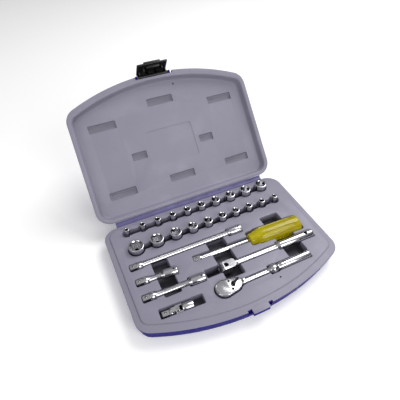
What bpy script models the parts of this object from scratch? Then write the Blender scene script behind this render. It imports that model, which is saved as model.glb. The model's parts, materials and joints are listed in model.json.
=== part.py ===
# A quarter-inch drive socket wrench set in its moulded case, lid open.
# Metres, +Z up, +Y towards the hinge. Origin: the middle of the base's underside.
import math

import bmesh
import bpy

# Sockets: label, size across the flats, outside diameter of the nose.
METRIC_SOCKETS = [
    ("4", 0.0040, 0.0069), ("5", 0.0050, 0.0080), ("5_5", 0.0055, 0.0088), ("6", 0.0060, 0.0094),
    ("7", 0.0070, 0.0108), ("8", 0.0080, 0.0120), ("9", 0.0090, 0.0132), ("10", 0.0100, 0.0146),
    ("11", 0.0110, 0.0159), ("12", 0.0120, 0.0170),
]
INCH_SOCKETS = [
    ("9_16", 0.0143, 0.0198), ("1_2", 0.0127, 0.0180), ("7_16", 0.0111, 0.0160), ("3_8", 0.0095, 0.0143),
    ("11_32", 0.0087, 0.0130), ("5_16", 0.0079, 0.0120), ("9_32", 0.0071, 0.0110), ("1_4", 0.0064, 0.0097),
    ("7_32", 0.0056, 0.0088), ("3_16", 0.0048, 0.0078),
]
SOCKET_LENGTH = 0.0250
DRIVE_END_LENGTH = 0.0115
SMALL_DRIVE_END = 0.0120  # diameter of the drive end where the nose is thinner than it
LARGE_DRIVE_END = 0.0138  # and where the nose is thicker
HEX_DEPTH = 0.0090
SQUARE_DEPTH = 0.0085
METRIC_GAP = 0.0096  # between neighbours in the back row
INCH_GAP = 0.0089  # and in the front row
METRIC_SHIFT = -0.0014  # rows sit a little off the middle
INCH_SHIFT = 0.0023

# Square drive, shared by every tool.
DRIVE = 0.0063
DRIVE_HOLE = DRIVE + 0.0002
DRIVE_LENGTH = 0.0083
DRIVE_HOLE_DEPTH = 0.0090
BALL_RADIUS = 0.0014
BALL_PROUD = 0.0005
BALL_GAP = 0.0003

# Extension bars.
LONG_BAR = 0.1524
MEDIUM_BAR = 0.0762
SHORT_BAR = 0.0508
BAR_SHAFT = 0.0036  # radii
BAR_COLLAR = 0.0049
BAR_SOCKET = 0.0060
BAR_SOCKET_LENGTH = 0.0170
BAR_COLLAR_END = 0.0130

# Spinner: a screwdriver-style handle with a square drive.
SPINNER_LENGTH = 0.1524
GRIP_LENGTH = 0.0745
GRIP_RADIUS = 0.0125
GRIP_NOSE = 0.0088
SPINNER_SHAFT = 0.0035
SHAFT_INSIDE = 0.0480  # how far the shaft runs into the grip
INSERT_RADIUS = 0.0060
INSERT_LENGTH = 0.0160
FLUTES = 6
FLUTE_RADIUS = 0.0034

# Flex handle.
FLEX_LENGTH = 0.1345
FLEX_GRIP = 0.0060
FLEX_GRIP_LENGTH = 0.0540
FLEX_SHAFT = 0.0037
FORK_WIDTH = 0.0122
FORK_RADIUS = 0.0048
FORK_LENGTH = 0.0200
FORK_SLOT = 0.0058
FORK_SLOT_LENGTH = 0.0115
FLEX_REACH = 0.0150  # pivot to the end of the square
CROSS_HOLE = 0.0024
CROSS_HOLE_FROM_END = 0.0110

# Ratchet, measured from the drive's axis.
RATCHET_LENGTH = 0.1190
HEAD_RADIUS = 0.0108
HEAD_THICKNESS = 0.0110
SHOULDER_RADIUS = 0.0086
SHOULDER_X = 0.0130
NECK_X = 0.0270
COLLAR_X = 0.0660
RATCHET_COLLAR = 0.0060
RATCHET_SHANK = 0.0033
RATCHET_GRIP = 0.0052
GEAR_TEETH = 24
GEAR_RADIUS = 0.0070
GEAR_ROOT = 0.0063
JOURNAL_RADIUS = 0.0050
DRIVE_REACH = 0.0150
LEVER_X = 0.0114
LEVER_LENGTH = 0.0096
LEVER_ANGLE = math.radians(27)
COVER_THICKNESS = 0.0013
SCREW_X = 0.0080
SCREW_Y = 0.0056

# Universal joint.
JOINT_LENGTH = 0.0370
JOINT_BODY = 0.0059
JOINT_CENTRE = 0.0175  # from the square's tip
JOINT_COLLAR = 0.0048
EAR_RADIUS = 0.0029
EAR_THICKNESS = 0.0019
EAR_INNER = 0.0032  # half the gap between two ears
CROSS_HALF = 0.0028

# Layout, from the back edge of the case forwards.
BACK_MARGIN = 0.0082  # from the back row's largest socket to the edge
ROW_GAP = 0.0127
BAR_ROW_GAP = 0.0090
BAR_PITCH = 0.0230
FLEX_GAP = 0.0087
RATCHET_GAP = 0.0104
SPINNER_GAP = 0.0100  # least distance from the short bar to the spinner's square
JOINT_GAP = 0.0254  # medium bar to universal joint
FRONT_MARGIN = 0.0259
SIDE_MARGIN = 0.0179
LONG_TURN = math.radians(-0.3)  # each tool's slight slant in plan
SHORT_TURN = math.radians(-2.7)
MEDIUM_TURN = math.radians(-1.8)
SPINNER_TURN = math.radians(-1.9)
FLEX_TURN = math.radians(-0.6)
JOINT_TURN = math.radians(-2.5)

# Case.
CASE_TAPER = 0.0023  # the front corners stand this much closer to the middle
FRONT_BOW = 0.0301
BACK_CORNER = 0.0190
FRONT_CORNER = 0.0200
BASE_HEIGHT = 0.0200
SHELL_WALL = 0.0018
SHELL_DRAFT = 0.0030
SKIN = 0.0016
RIM = 0.0017
JOINT_LINE = 0.0003  # gap between neighbouring pieces
DECK_RISE = 0.0015
DECK_SIDE = 0.0070
DECK_FRONT = 0.0090
DECK_BACK = 0.0052
LID_SIDE = 0.0060
LID_FRONT = 0.0083
LID_BACK = 0.0046
LID_DRAFT = 0.0024
LID_CLEARANCE = 0.0009
PAD_DEPTH = 0.0030
PAD_HALF_WIDTH = 0.0053
PAD_HALF_LENGTH = 0.0192
SMALL_PAD_HALF_LENGTH = 0.0107
LABEL_HALF_LENGTH = 0.0345
LABEL_HALF_WIDTH = 0.0255
LABEL_DEPTH = 0.0004
FIT = 0.0005  # round a tool in its pocket
SOCKET_FIT = 0.0009
TROUGH_DEPTH = 0.0135
HINGE_SET_BACK = 0.0040
LID_ANGLE = math.radians(131)
TAB_HALF = 0.0105
TAB_PROUD = 0.0035
TAB_DEPTH = 0.0062
NOTCH_WIDTH = 0.0055
NOTCH_DEPTH = 0.0030
LATCH_HALF = 0.0220
LATCH_BARREL = 0.0028
LATCH_PIN_RADIUS = 0.0010
LATCH_AJAR = math.radians(15)
RECESS_HALF = 0.0275
RECESS_DEPTH = 0.0050
WEB_THICKNESS = 0.0008

GREY = (0.28, 0.27, 0.34)
BLUE = (0.045, 0.03, 0.21)
BLACK = (0.012, 0.012, 0.013)
STEEL = (0.62, 0.62, 0.64)
YELLOW = (0.72, 0.62, 0.02)

for old in list(bpy.data.objects):
    bpy.data.objects.remove(old)

scene = bpy.context.scene.collection
parts = bpy.data.collections.new("socket_wrench_set")
cutters = bpy.data.collections.new("cutters")
walls = bpy.data.collections.new("pocket_walls")
hollows = bpy.data.collections.new("pocket_hollows")
scene.children.link(parts)
scene.children.link(cutters)
cutters.children.link(walls)
cutters.children.link(hollows)
cutters.hide_render = True

# ---- Derived places


def outside(socket):
    # the socket's largest diameter
    return max(socket[2], SMALL_DRIVE_END)


def row_places(sockets, gap, shift):
    places = [0.0]
    for near, far in zip(sockets, sockets[1:]):
        places.append(places[-1] + (outside(near) + outside(far)) / 2 + gap)
    middle = places[-1] / 2
    return [x - middle + shift for x in places]


metric_x = row_places(METRIC_SOCKETS, METRIC_GAP, METRIC_SHIFT)
inch_x = row_places(INCH_SOCKETS, INCH_GAP, INCH_SHIFT)
metric_radius = max(map(outside, METRIC_SOCKETS)) / 2
inch_radius = max(map(outside, INCH_SOCKETS)) / 2

# Distances from the back edge.
metric_back = BACK_MARGIN + metric_radius
inch_back = metric_back + metric_radius + ROW_GAP + inch_radius
long_back = inch_back + inch_radius + BAR_ROW_GAP + BAR_SOCKET
spinner_back = long_back + BAR_SOCKET + GRIP_RADIUS + 2 * FIT
short_back = long_back + BAR_PITCH
medium_back = short_back + BAR_PITCH
spinner_drop = SPINNER_LENGTH * math.tan(-SPINNER_TURN)
flex_back = spinner_back + GRIP_RADIUS + FLEX_GAP + FLEX_GRIP
ratchet_back = flex_back + FORK_WIDTH / 2 + RATCHET_GAP + HEAD_RADIUS
joint_back = medium_back + JOINT_GAP
case_depth = ratchet_back + HEAD_RADIUS + FRONT_MARGIN
back_y = case_depth / 2
front_y = -case_depth / 2

# Heights.
shell_floor = SHELL_WALL
pocket_floor = shell_floor + 0.0005 + SKIN
rim_z = BASE_HEIGHT
deck_z = rim_z + DECK_RISE
socket_z = pocket_floor + JOINT_LINE
bar_z = rim_z
spinner_z = pocket_floor + FIT + GRIP_RADIUS
drive_z = pocket_floor + 2 * FIT + max(FLEX_REACH, DRIVE_REACH)
joint_z = rim_z - 0.0040
tallest = max(socket_z + SOCKET_LENGTH, spinner_z + GRIP_RADIUS)
lid_rim_z = rim_z + JOINT_LINE
lid_floor_z = tallest + LID_CLEARANCE
lid_top_z = lid_floor_z + PAD_DEPTH + SKIN + 0.0005 + SHELL_WALL

# Left ends of the tools, worked out so that the two halves of the set balance.
flex_gap_left = 0.0210
flex_x = MEDIUM_BAR + flex_gap_left
span = flex_x + FLEX_LENGTH
left_x = -span / 2
long_x = left_x - 0.0010
short_x = left_x - 0.0004
medium_x = left_x
flex_x += left_x
ratchet_x = flex_x - 0.0080
joint_x = left_x + 0.0136
grip_x = long_x + LONG_BAR + 2 * FIT
spinner_x = max(grip_x - (SPINNER_LENGTH - GRIP_LENGTH), short_x + SHORT_BAR + SPINNER_GAP)
right_x = max(flex_x + FLEX_LENGTH, ratchet_x + RATCHET_LENGTH, spinner_x + SPINNER_LENGTH)
half_back = max(right_x, -long_x, metric_x[-1] + metric_radius) + SIDE_MARGIN
half_front = half_back - CASE_TAPER
bow_radius = (half_front**2 + FRONT_BOW**2) / (2 * FRONT_BOW)
hinge_y = back_y + HINGE_SET_BACK
hinge_z = rim_z + JOINT_LINE / 2

# ---- Building blocks


def paint(thing, colour, roughness, metallic=0.0, alpha=1.0):
    material = bpy.data.materials.new(thing.name)
    material.use_nodes = True
    shader = material.node_tree.nodes["Principled BSDF"]
    shader.inputs["Base Color"].default_value = (*colour, 1.0)
    shader.inputs["Roughness"].default_value = roughness
    shader.inputs["Metallic"].default_value = metallic
    shader.inputs["Alpha"].default_value = alpha
    thing.data.materials.clear()
    thing.data.materials.append(material)
    return thing


def chrome(thing):
    return paint(thing, STEEL, 0.12, 1.0)


def add(name, bm, home=cutters, parent=None):
    # turns a bmesh into an object; helpers are drawn as wires
    bmesh.ops.recalc_face_normals(bm, faces=bm.faces)
    if bm.calc_volume(signed=True) < 0:
        bmesh.ops.reverse_faces(bm, faces=bm.faces)
    mesh = bpy.data.meshes.new(name)
    bm.to_mesh(mesh)
    bm.free()
    thing = bpy.data.objects.new(name, mesh)
    home.objects.link(thing)
    thing.parent = parent
    if home is not parts:
        thing.hide_render = True
        thing.display_type = "WIRE"
    return thing


def empty(name, location, rotation=(0, 0, 0), parent=None):
    frame = bpy.data.objects.new(name, None)
    frame.empty_display_size = 0.01
    frame.location = location
    frame.rotation_euler = rotation
    frame.parent = parent
    parts.objects.link(frame)
    return frame


def box(name, low, high, home=cutters, parent=None):
    bm = bmesh.new()
    bmesh.ops.create_cube(bm, size=1)
    for vert in bm.verts:
        vert.co = [(a + b) / 2 + c * (b - a) for a, b, c in zip(low, high, vert.co)]
    return add(name, bm, home, parent)


def rod(name, start, end, radius, axis="Z", sides=16, at=(0, 0), home=cutters, parent=None):
    # a cylinder along one axis; `at` holds its other two coordinates, in X, Y, Z order
    bm = bmesh.new()
    bmesh.ops.create_cone(
        bm, cap_ends=True, segments=sides, radius1=radius, radius2=radius, depth=end - start
    )
    turn = math.pi / sides
    cos, sin = math.cos(turn), math.sin(turn)
    for vert in bm.verts:
        u, v, w = vert.co
        u, v, w = u * cos - v * sin + at[0], u * sin + v * cos + at[1], w + (start + end) / 2
        vert.co = {"X": (w, u, v), "Y": (u, w, v), "Z": (u, v, w)}[axis]
    return add(name, bm, home, parent)


def prism(name, outline, low, high, home=cutters, parent=None):
    bm = bmesh.new()
    face = bm.faces.new([bm.verts.new((x, y, low)) for x, y in outline])
    grown = bmesh.ops.extrude_face_region(bm, geom=[face])
    top = [item for item in grown["geom"] if isinstance(item, bmesh.types.BMVert)]
    bmesh.ops.translate(bm, verts=top, vec=(0, 0, high - low))
    return add(name, bm, home, parent)


def loft(name, rings, home=parts, parent=None):
    # a closed solid through unlike outlines with the same number of points; its two ends are capped
    bm = bmesh.new()
    loops = [[bm.verts.new((x, y, z)) for x, y in outline] for outline, z in rings]
    for low, high in zip(loops, loops[1:]):
        for k in range(len(low)):
            bm.faces.new((low[k - 1], low[k], high[k], high[k - 1]))
    bm.faces.new(loops[0])
    bm.faces.new(loops[-1])
    return add(name, bm, home, parent)


def turned(name, profile, parent=None, home=parts, sides=16):
    # profile: (radius, z) points from the top end down the outside to the bottom end
    bm = bmesh.new()
    points = [bm.verts.new((r, 0, z)) for r, z in profile]
    for pair in zip(points, points[1:]):
        bm.edges.new(pair)
    thing = add(name, bm, home, parent)
    screw = thing.modifiers.new("Turn", "SCREW")
    screw.steps = sides
    screw.render_steps = sides
    screw.use_merge_vertices = True
    screw.merge_threshold = 0.00001
    screw.use_smooth_shade = False
    return thing


def boolean(thing, other, operation):
    step = thing.modifiers.new(other.name, "BOOLEAN")
    step.operation = operation
    if isinstance(other, bpy.types.Collection):
        step.operand_type = "COLLECTION"
        step.collection = other
    else:
        step.object = other
    step.solver = "EXACT"
    return thing


def cut(thing, *others):
    for other in others:
        boolean(thing, other, "DIFFERENCE")
    return thing


def join(thing, *others):
    for other in others:
        boolean(thing, other, "UNION")
    return thing


def fillet(corner, before, after, radius, steps=4):
    # the points of an arc that rounds one corner of an outline
    ux, uy = before[0] - corner[0], before[1] - corner[1]
    vx, vy = after[0] - corner[0], after[1] - corner[1]
    ul, vl = math.hypot(ux, uy), math.hypot(vx, vy)
    ux, uy, vx, vy = ux / ul, uy / ul, vx / vl, vy / vl
    half = math.acos(max(-1, min(1, ux * vx + uy * vy))) / 2
    reach = radius / math.tan(half)
    bx, by = ux + vx, uy + vy
    bl = math.hypot(bx, by)
    depth = radius / math.sin(half)
    cx, cy = corner[0] + bx / bl * depth, corner[1] + by / bl * depth
    start = math.atan2(corner[1] + uy * reach - cy, corner[0] + ux * reach - cx)
    turn = math.atan2(corner[1] + vy * reach - cy, corner[0] + vx * reach - cx) - start
    turn = (turn + math.pi) % (2 * math.pi) - math.pi
    return [
        (cx + radius * math.cos(start + turn * k / steps), cy + radius * math.sin(start + turn * k / steps))
        for k in range(steps + 1)
    ]


def case_outline(side, front, back):
    # the case's outline in plan, set in by three amounts
    radius = bow_radius - front
    centre = front_y + bow_radius

    def bow(x):
        return x, centre - math.sqrt(radius**2 - x**2)

    corner = half_front - side
    reach = 0.78 * corner
    front_points = [bow(reach * (1 - k / 5)) for k in range(11)]
    back_right = (half_back - side, back_y - back)
    back_left = (-back_right[0], back_right[1])
    front_right, front_left = bow(corner), bow(-corner)
    back_round = max(BACK_CORNER - max(side, back), 0.006)
    front_round = max(FRONT_CORNER - max(side, front), 0.006)
    return (
        fillet(back_left, front_left, back_right, back_round)
        + fillet(back_right, back_left, front_right, back_round)
        + fillet(front_right, back_right, front_points[0], front_round)
        + front_points
        + fillet(front_left, front_points[-1], back_left, front_round)
    )


def even(inset):
    return case_outline(inset, inset, inset)


# ---- Case


def head_outline(inset, end=NECK_X):
    # pear shape: a round head that runs into a rounder shoulder and the neck
    points = []
    big, small = HEAD_RADIUS - inset, SHOULDER_RADIUS - inset
    lean = math.asin((HEAD_RADIUS - SHOULDER_RADIUS) / SHOULDER_X)
    start = math.pi / 2 - lean
    for k in range(13):
        angle = start + (2 * math.pi - 2 * start) * k / 12
        points.append((big * math.cos(angle), big * math.sin(angle)))
    tail = math.radians(35)
    for k in range(4):
        angle = -start + (start - tail) * k / 3
        points.append((SHOULDER_X + small * math.cos(angle), small * math.sin(angle)))
    if end:
        near, far = 0.0038 - inset, 0.0031 - inset
        points += [(end - 0.005, -near), (end, -far), (end, far), (end - 0.005, near)]
    for k in range(4):
        angle = tail + (start - tail) * k / 3
        points.append((SHOULDER_X + small * math.cos(angle), small * math.sin(angle)))
    return points

def shell_rings(rim, floor, outer):
    # a drafted tub from its inner floor, over the rim and down to its outer face
    up = 1 if outer < rim else -1
    return [
        (even(SHELL_DRAFT + SHELL_WALL + 0.0006), floor),
        (even(SHELL_DRAFT + SHELL_WALL), floor + 0.0014 * up),
        (even(SHELL_WALL), rim),
        (even(0), rim),
        (even(SHELL_DRAFT), outer + 0.0032 * up),
        (even(SHELL_DRAFT + 0.0006), outer + 0.0012 * up),
        (even(SHELL_DRAFT + 0.0022), outer),
    ]


def build_base_shell():
    top = rim_z - RIM - JOINT_LINE
    shell = loft("base_shell", shell_rings(top, shell_floor, 0))
    tab_low = rim_z - TAB_DEPTH
    tab = box("tab_of_shell", (-TAB_HALF, front_y - TAB_PROUD, tab_low), (TAB_HALF, front_y + 0.0037, top))
    join(shell, tab)
    for side in (-1, 1):
        near, far = sorted((side * TAB_HALF, side * (TAB_HALF + NOTCH_WIDTH)))
        low = tab_low - 0.0018
        back = front_y + NOTCH_DEPTH
        back_wall = box(
            "notch_wall", (near - 0.0012, back - 0.0005, low), (far + 0.0012, back + SHELL_WALL, top)
        )
        notch = box("notch_of_shell", (near, front_y - 0.01, low + 0.0006), (far, back, top + 0.001))
        join(shell, back_wall)
        cut(shell, notch)
    return paint(shell, BLUE, 0.35)


def tray_plate():
    under = SKIN - 0.0001
    return loft(
        "base_tray",
        [
            (case_outline(DECK_SIDE + 0.0006, DECK_FRONT + 0.0006, DECK_BACK + 0.0006), deck_z),
            (case_outline(DECK_SIDE, DECK_FRONT, DECK_BACK), rim_z),
            (even(0), rim_z),
            (even(0), rim_z - RIM),
            (case_outline(DECK_SIDE - 0.0008, DECK_FRONT - 0.0008, DECK_BACK - 0.0008), rim_z - RIM),
            (case_outline(DECK_SIDE + under, DECK_FRONT + under, DECK_BACK + under), deck_z - SKIN),
        ],
    )


def hollow_out(name, outline, floor):
    # one pocket: a wall solid that is joined to the deck, and the hollow cut inside it
    prism(name + "_wall", outline(SKIN), floor - SKIN, rim_z + 0.0002, walls)
    prism(name + "_hollow", outline(0), floor, deck_z + 0.002, hollows)


def pocket_box(name, place, turn, low, high, half, floor):
    # a pocket along a tool, from `low` to `high` on its axis
    cos, sin = math.cos(turn), math.sin(turn)

    def outline(grow):
        corners = ((low, -half), (high, -half), (high, half), (low, half))
        grown = [(x + math.copysign(grow, x - (low + high) / 2), y + math.copysign(grow, y)) for x, y in corners]
        return [(place[0] + x * cos - y * sin, place[1] + x * sin + y * cos) for x, y in grown]

    hollow_out(name, outline, floor)


def pocket_round(name, x, y, radius, floor, sides=16):
    def outline(grow):
        around = [2 * math.pi * (k + 0.5) / sides for k in range(sides)]
        return [(x + (radius + grow) * math.cos(a), y + (radius + grow) * math.sin(a)) for a in around]

    hollow_out(name, outline, floor)


def row_pockets(name, sockets, places, y):
    # round pockets, joined by a shallower channel
    for socket, x in zip(sockets, places):
        pocket_round(f"{name}_{socket[0]}", x, y, outside(socket) / 2 + SOCKET_FIT, pocket_floor)
    pocket_box(name + "_channel", (0, y), 0, places[0], places[-1], 0.0042, deck_z - 0.0110)


def bar_pockets(name, place, turn, length):
    steps = [
        (-FIT, BAR_COLLAR_END + 0.003, BAR_COLLAR),
        (BAR_COLLAR_END, length - BAR_SOCKET_LENGTH, BAR_SHAFT),
        (length - BAR_SOCKET_LENGTH - 0.0035, length + FIT, BAR_SOCKET),
    ]
    for number, (low, high, radius) in enumerate(steps):
        pocket_box(f"{name}_{number}", place, turn, low, high, radius + FIT, bar_z - radius - FIT)


def spinner_pockets():
    place, turn = (spinner_x, back_y - spinner_back), SPINNER_TURN
    shaft = SPINNER_LENGTH - GRIP_LENGTH
    nose = max(GRIP_NOSE + 0.0030, GRIP_RADIUS - 0.0007)
    deep = spinner_z - GRIP_RADIUS - FIT
    pocket_box("spinner_shaft", place, turn, -FIT, shaft, SPINNER_SHAFT + FIT + 0.0006, spinner_z - 0.0052)
    pocket_box("spinner_nose", place, turn, shaft - 2 * FIT, shaft + 0.012, nose, deep)
    pocket_box("spinner_grip", place, turn, shaft + 0.009, SPINNER_LENGTH + 2 * FIT, GRIP_RADIUS + FIT, deep)


def flex_pockets():
    place, turn = (flex_x, back_y - flex_back), FLEX_TURN
    pivot = FORK_RADIUS
    grip = FLEX_LENGTH - FLEX_GRIP_LENGTH
    pocket_box("flex_swing", place, turn, pivot - FLEX_REACH - 0.0085, pivot + 0.0065, 0.0061, pocket_floor)
    fork_low = drive_z - FORK_RADIUS - FIT
    pocket_box("flex_fork", place, turn, -FIT, FORK_LENGTH + 0.001, FORK_WIDTH / 2 + FIT, fork_low)
    shaft_low = drive_z - FLEX_SHAFT - FIT
    pocket_box("flex_shaft", place, turn, FORK_LENGTH, grip + 0.002, FLEX_SHAFT + FIT, shaft_low)
    pocket_box("flex_grip", place, turn, grip, FLEX_LENGTH + FIT, FLEX_GRIP + FIT, drive_z - FLEX_GRIP - FIT)


def ratchet_pockets():
    x, y = ratchet_x, back_y - ratchet_back
    floor = drive_z - HEAD_THICKNESS / 2 - FIT
    pocket_round("ratchet_well", x, y, JOURNAL_RADIUS + 0.0012, pocket_floor)

    def pear(grow):
        points = head_outline(-SOCKET_FIT - grow, NECK_X + SOCKET_FIT + grow)
        return [(x + u, y + v) for u, v in points]

    hollow_out("ratchet_head", pear, floor)
    grip = COLLAR_X + RATCHET_COLLAR
    steps = (
        ("shank", NECK_X, COLLAR_X, RATCHET_SHANK),
        ("collar", COLLAR_X - RATCHET_COLLAR, grip, RATCHET_COLLAR),
        ("grip", grip - 0.001, RATCHET_LENGTH + FIT, RATCHET_GRIP),
    )
    for name, low, high, radius in steps:
        pocket_box("ratchet_" + name, (x, y), 0, low, high, radius + FIT, drive_z - radius - FIT)


def finger_troughs():
    # three cross troughs where fingers get under the tools
    floor = deck_z - TROUGH_DEPTH
    above = back_y - long_back
    below = back_y - medium_back - BAR_SOCKET
    head_edge = back_y - ratchet_back + HEAD_RADIUS - 0.0010
    grip_edge = back_y - ratchet_back + RATCHET_GRIP
    troughs = (
        ("left", left_x + 0.0240, left_x + 0.0450, below - 0.0030, above - BAR_SHAFT),
        ("middle", flex_x + 0.0010, flex_x + 0.0260, head_edge, above - BAR_SHAFT),
        ("right", right_x - 0.0490, right_x - 0.0220, grip_edge, above + 0.0028),
    )
    for name, x0, x1, y0, y1 in troughs:
        pocket_box("trough_" + name, ((x0 + x1) / 2, (y0 + y1) / 2), 0, (x0 - x1) / 2, (x1 - x0) / 2, (y1 - y0) / 2, floor)


def build_base_tray():
    tray = tray_plate()
    row_pockets("metric", METRIC_SOCKETS, metric_x, back_y - metric_back)
    row_pockets("inch", INCH_SOCKETS, inch_x, back_y - inch_back)
    bar_pockets("long", (long_x, back_y - long_back), LONG_TURN, LONG_BAR)
    bar_pockets("short", (short_x, back_y - short_back), SHORT_TURN, SHORT_BAR)
    bar_pockets("medium", (medium_x, back_y - medium_back), MEDIUM_TURN, MEDIUM_BAR)
    spinner_pockets()
    flex_pockets()
    ratchet_pockets()
    joint_low = joint_z - JOINT_BODY - FIT
    joint_place = (joint_x, back_y - joint_back)
    pocket_box("joint", joint_place, JOINT_TURN, -0.0026, 0.0500, JOINT_BODY + FIT, joint_low)
    finger_troughs()
    join(tray, walls)
    cut(tray, hollows)
    tab = box(
        "tab_of_tray", (-TAB_HALF, front_y - TAB_PROUD, rim_z - RIM), (TAB_HALF, front_y + 0.004, rim_z)
    )
    join(tray, tab)
    for side in (-1, 1):
        near, far = sorted((side * TAB_HALF, side * (TAB_HALF + NOTCH_WIDTH)))
        notch = box(
            "notch_of_tray", (near, front_y - 0.01, rim_z - 0.01), (far, front_y + NOTCH_DEPTH, deck_z + 0.01)
        )
        cut(tray, notch)
    vent = rod("tray_vent", deck_z - 0.004, deck_z + 0.002, 0.0012, sides=8, at=(0.0405, front_y + 0.0230))
    cut(tray, vent)
    return paint(tray, GREY, 0.5)


def build_hinge_web():
    # the thin strip that bends between the two halves, seen in section from +X
    half = half_back - BACK_CORNER - 0.0020
    reach = HINGE_SET_BACK - JOINT_LINE
    lift, back = math.sin(LID_ANGLE), -math.cos(LID_ANGLE)
    low = rim_z - RIM / 2
    ends = (
        (back_y + JOINT_LINE, low),
        (hinge_y - 0.0012, low),
        (hinge_y + 0.0012, low + 0.0006),
        (hinge_y + reach * back + 0.0004, hinge_z + reach * lift - 0.0006),
    )
    bm = bmesh.new()
    lower = [bm.verts.new((-half, y + WEB_THICKNESS * 0.5, z - WEB_THICKNESS * 0.5)) for y, z in ends[1:]]
    lower.insert(0, bm.verts.new((-half, ends[0][0], low - WEB_THICKNESS * 0.6)))
    upper = [bm.verts.new((-half, y - WEB_THICKNESS * 0.4, z + WEB_THICKNESS * 0.4)) for y, z in ends[1:]]
    upper.insert(0, bm.verts.new((-half, ends[0][0], low + WEB_THICKNESS * 0.4)))
    face = bm.faces.new(lower + upper[::-1])
    grown = bmesh.ops.extrude_face_region(bm, geom=[face])
    far = [item for item in grown["geom"] if isinstance(item, bmesh.types.BMVert)]
    bmesh.ops.translate(bm, verts=far, vec=(2 * half, 0, 0))
    web = add("hinge_web", bm, parts)
    return paint(web, (0.2, 0.2, 0.36), 0.45)


def in_lid(value_y, value_z):
    # a place in the closed case, seen from the lid's pivot
    return value_y - hinge_y, value_z - hinge_z


def moved(thing):
    # a lid piece is modelled in the closed case and hangs from the pivot
    thing.location = (0, -hinge_y, -hinge_z)
    return thing


latch_y = front_y + 0.0014
latch_z = lid_rim_z + 0.0070


def recess_cutter(name, low, high, parent):
    return moved(
        box(name, (-RECESS_HALF, front_y - 0.02, low), (RECESS_HALF, front_y + RECESS_DEPTH, high), cutters, parent)
    )


def build_lid_shell(pivot):
    rim = lid_rim_z + RIM + JOINT_LINE
    inner = lid_top_z - SHELL_WALL
    shell = moved(loft("lid_shell", shell_rings(rim, inner, lid_top_z), parts, pivot))
    back = front_y + RECESS_DEPTH
    wall = box("recess_wall", (-0.0290, back - 0.0005, rim), (0.0290, back + 0.0011, lid_top_z - 0.0008), cutters, pivot)
    join(shell, moved(wall))
    cut(shell, recess_cutter("recess_of_shell", rim - 0.001, lid_top_z + 0.002, pivot))
    for side in (-1, 1):
        near, far = sorted((side * (LATCH_HALF + 0.0007), side * (LATCH_HALF + 0.0037)))
        lug = box("lug", (near, latch_y - 0.0022, latch_z - 0.0024), (far, back + 0.0006, latch_z + 0.0024), cutters, pivot)
        join(shell, moved(lug))
    bore = rod("lug_bore", -0.0265, 0.0265, LATCH_PIN_RADIUS + 0.0003, "X", 12, (latch_y, latch_z), cutters, pivot)
    cut(shell, moved(bore))
    return paint(shell, BLUE, 0.35)


def pad_places():
    # middle and half length of each pressed-in pad
    far_x = half_front - 0.0430
    mid_x = half_front - 0.0806
    back_row = back_y - 0.0344
    return (
        (0, front_y + 0.0368, PAD_HALF_LENGTH),
        (-far_x, front_y + 0.0541, PAD_HALF_LENGTH),
        (far_x, front_y + 0.0541, PAD_HALF_LENGTH),
        (-mid_x, back_y - 0.0783, SMALL_PAD_HALF_LENGTH),
        (mid_x, back_y - 0.0783, SMALL_PAD_HALF_LENGTH),
        (-far_x, back_row, PAD_HALF_LENGTH),
        (0, back_row, PAD_HALF_LENGTH),
        (far_x, back_row, PAD_HALF_LENGTH),
    )


def build_lid_panel(pivot):
    wall = SKIN - 0.0001
    panel = moved(
        loft(
            "lid_panel",
            [
                (case_outline(LID_SIDE + LID_DRAFT, LID_FRONT + LID_DRAFT, LID_BACK + LID_DRAFT), lid_floor_z),
                (case_outline(LID_SIDE, LID_FRONT, LID_BACK), lid_rim_z),
                (even(0), lid_rim_z),
                (even(0), lid_rim_z + RIM),
                (case_outline(LID_SIDE - wall, LID_FRONT - wall, LID_BACK - wall), lid_rim_z + RIM),
                (case_outline(LID_SIDE + 0.0009, LID_FRONT + 0.0009, LID_BACK + 0.0009), lid_floor_z + SKIN),
            ],
            parts,
            pivot,
        )
    )
    for number, (x, y, half) in enumerate(pad_places()):
        low = (x - half, y - PAD_HALF_WIDTH)
        high = (x + half, y + PAD_HALF_WIDTH)
        grown_low = (low[0] - SKIN, low[1] - SKIN, lid_floor_z + SKIN / 2)
        grown_high = (high[0] + SKIN, high[1] + SKIN, lid_floor_z + PAD_DEPTH + SKIN)
        join(panel, moved(box(f"pad_wall_{number}", grown_low, grown_high, cutters, pivot)))
        hole_low, hole_high = (*low, lid_floor_z - 0.001), (*high, lid_floor_z + PAD_DEPTH)
        cut(panel, moved(box(f"pad_{number}", hole_low, hole_high, cutters, pivot)))
    label_y = back_y - 0.0823
    label = box(
        "label_field",
        (-LABEL_HALF_LENGTH, label_y - LABEL_HALF_WIDTH, lid_floor_z - 0.001),
        (LABEL_HALF_LENGTH, label_y + LABEL_HALF_WIDTH, lid_floor_z + LABEL_DEPTH),
        cutters,
        pivot,
    )
    vent = rod(
        "lid_vent", lid_floor_z - 0.001, lid_floor_z + 0.004, 0.0012, "Z", 8, (0.0262, front_y + 0.0184), cutters, pivot
    )
    cut(panel, moved(label), moved(vent))
    cut(panel, recess_cutter("recess_of_panel", lid_rim_z - 0.001, lid_rim_z + 0.004, pivot))
    return paint(panel, GREY, 0.5)


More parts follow.
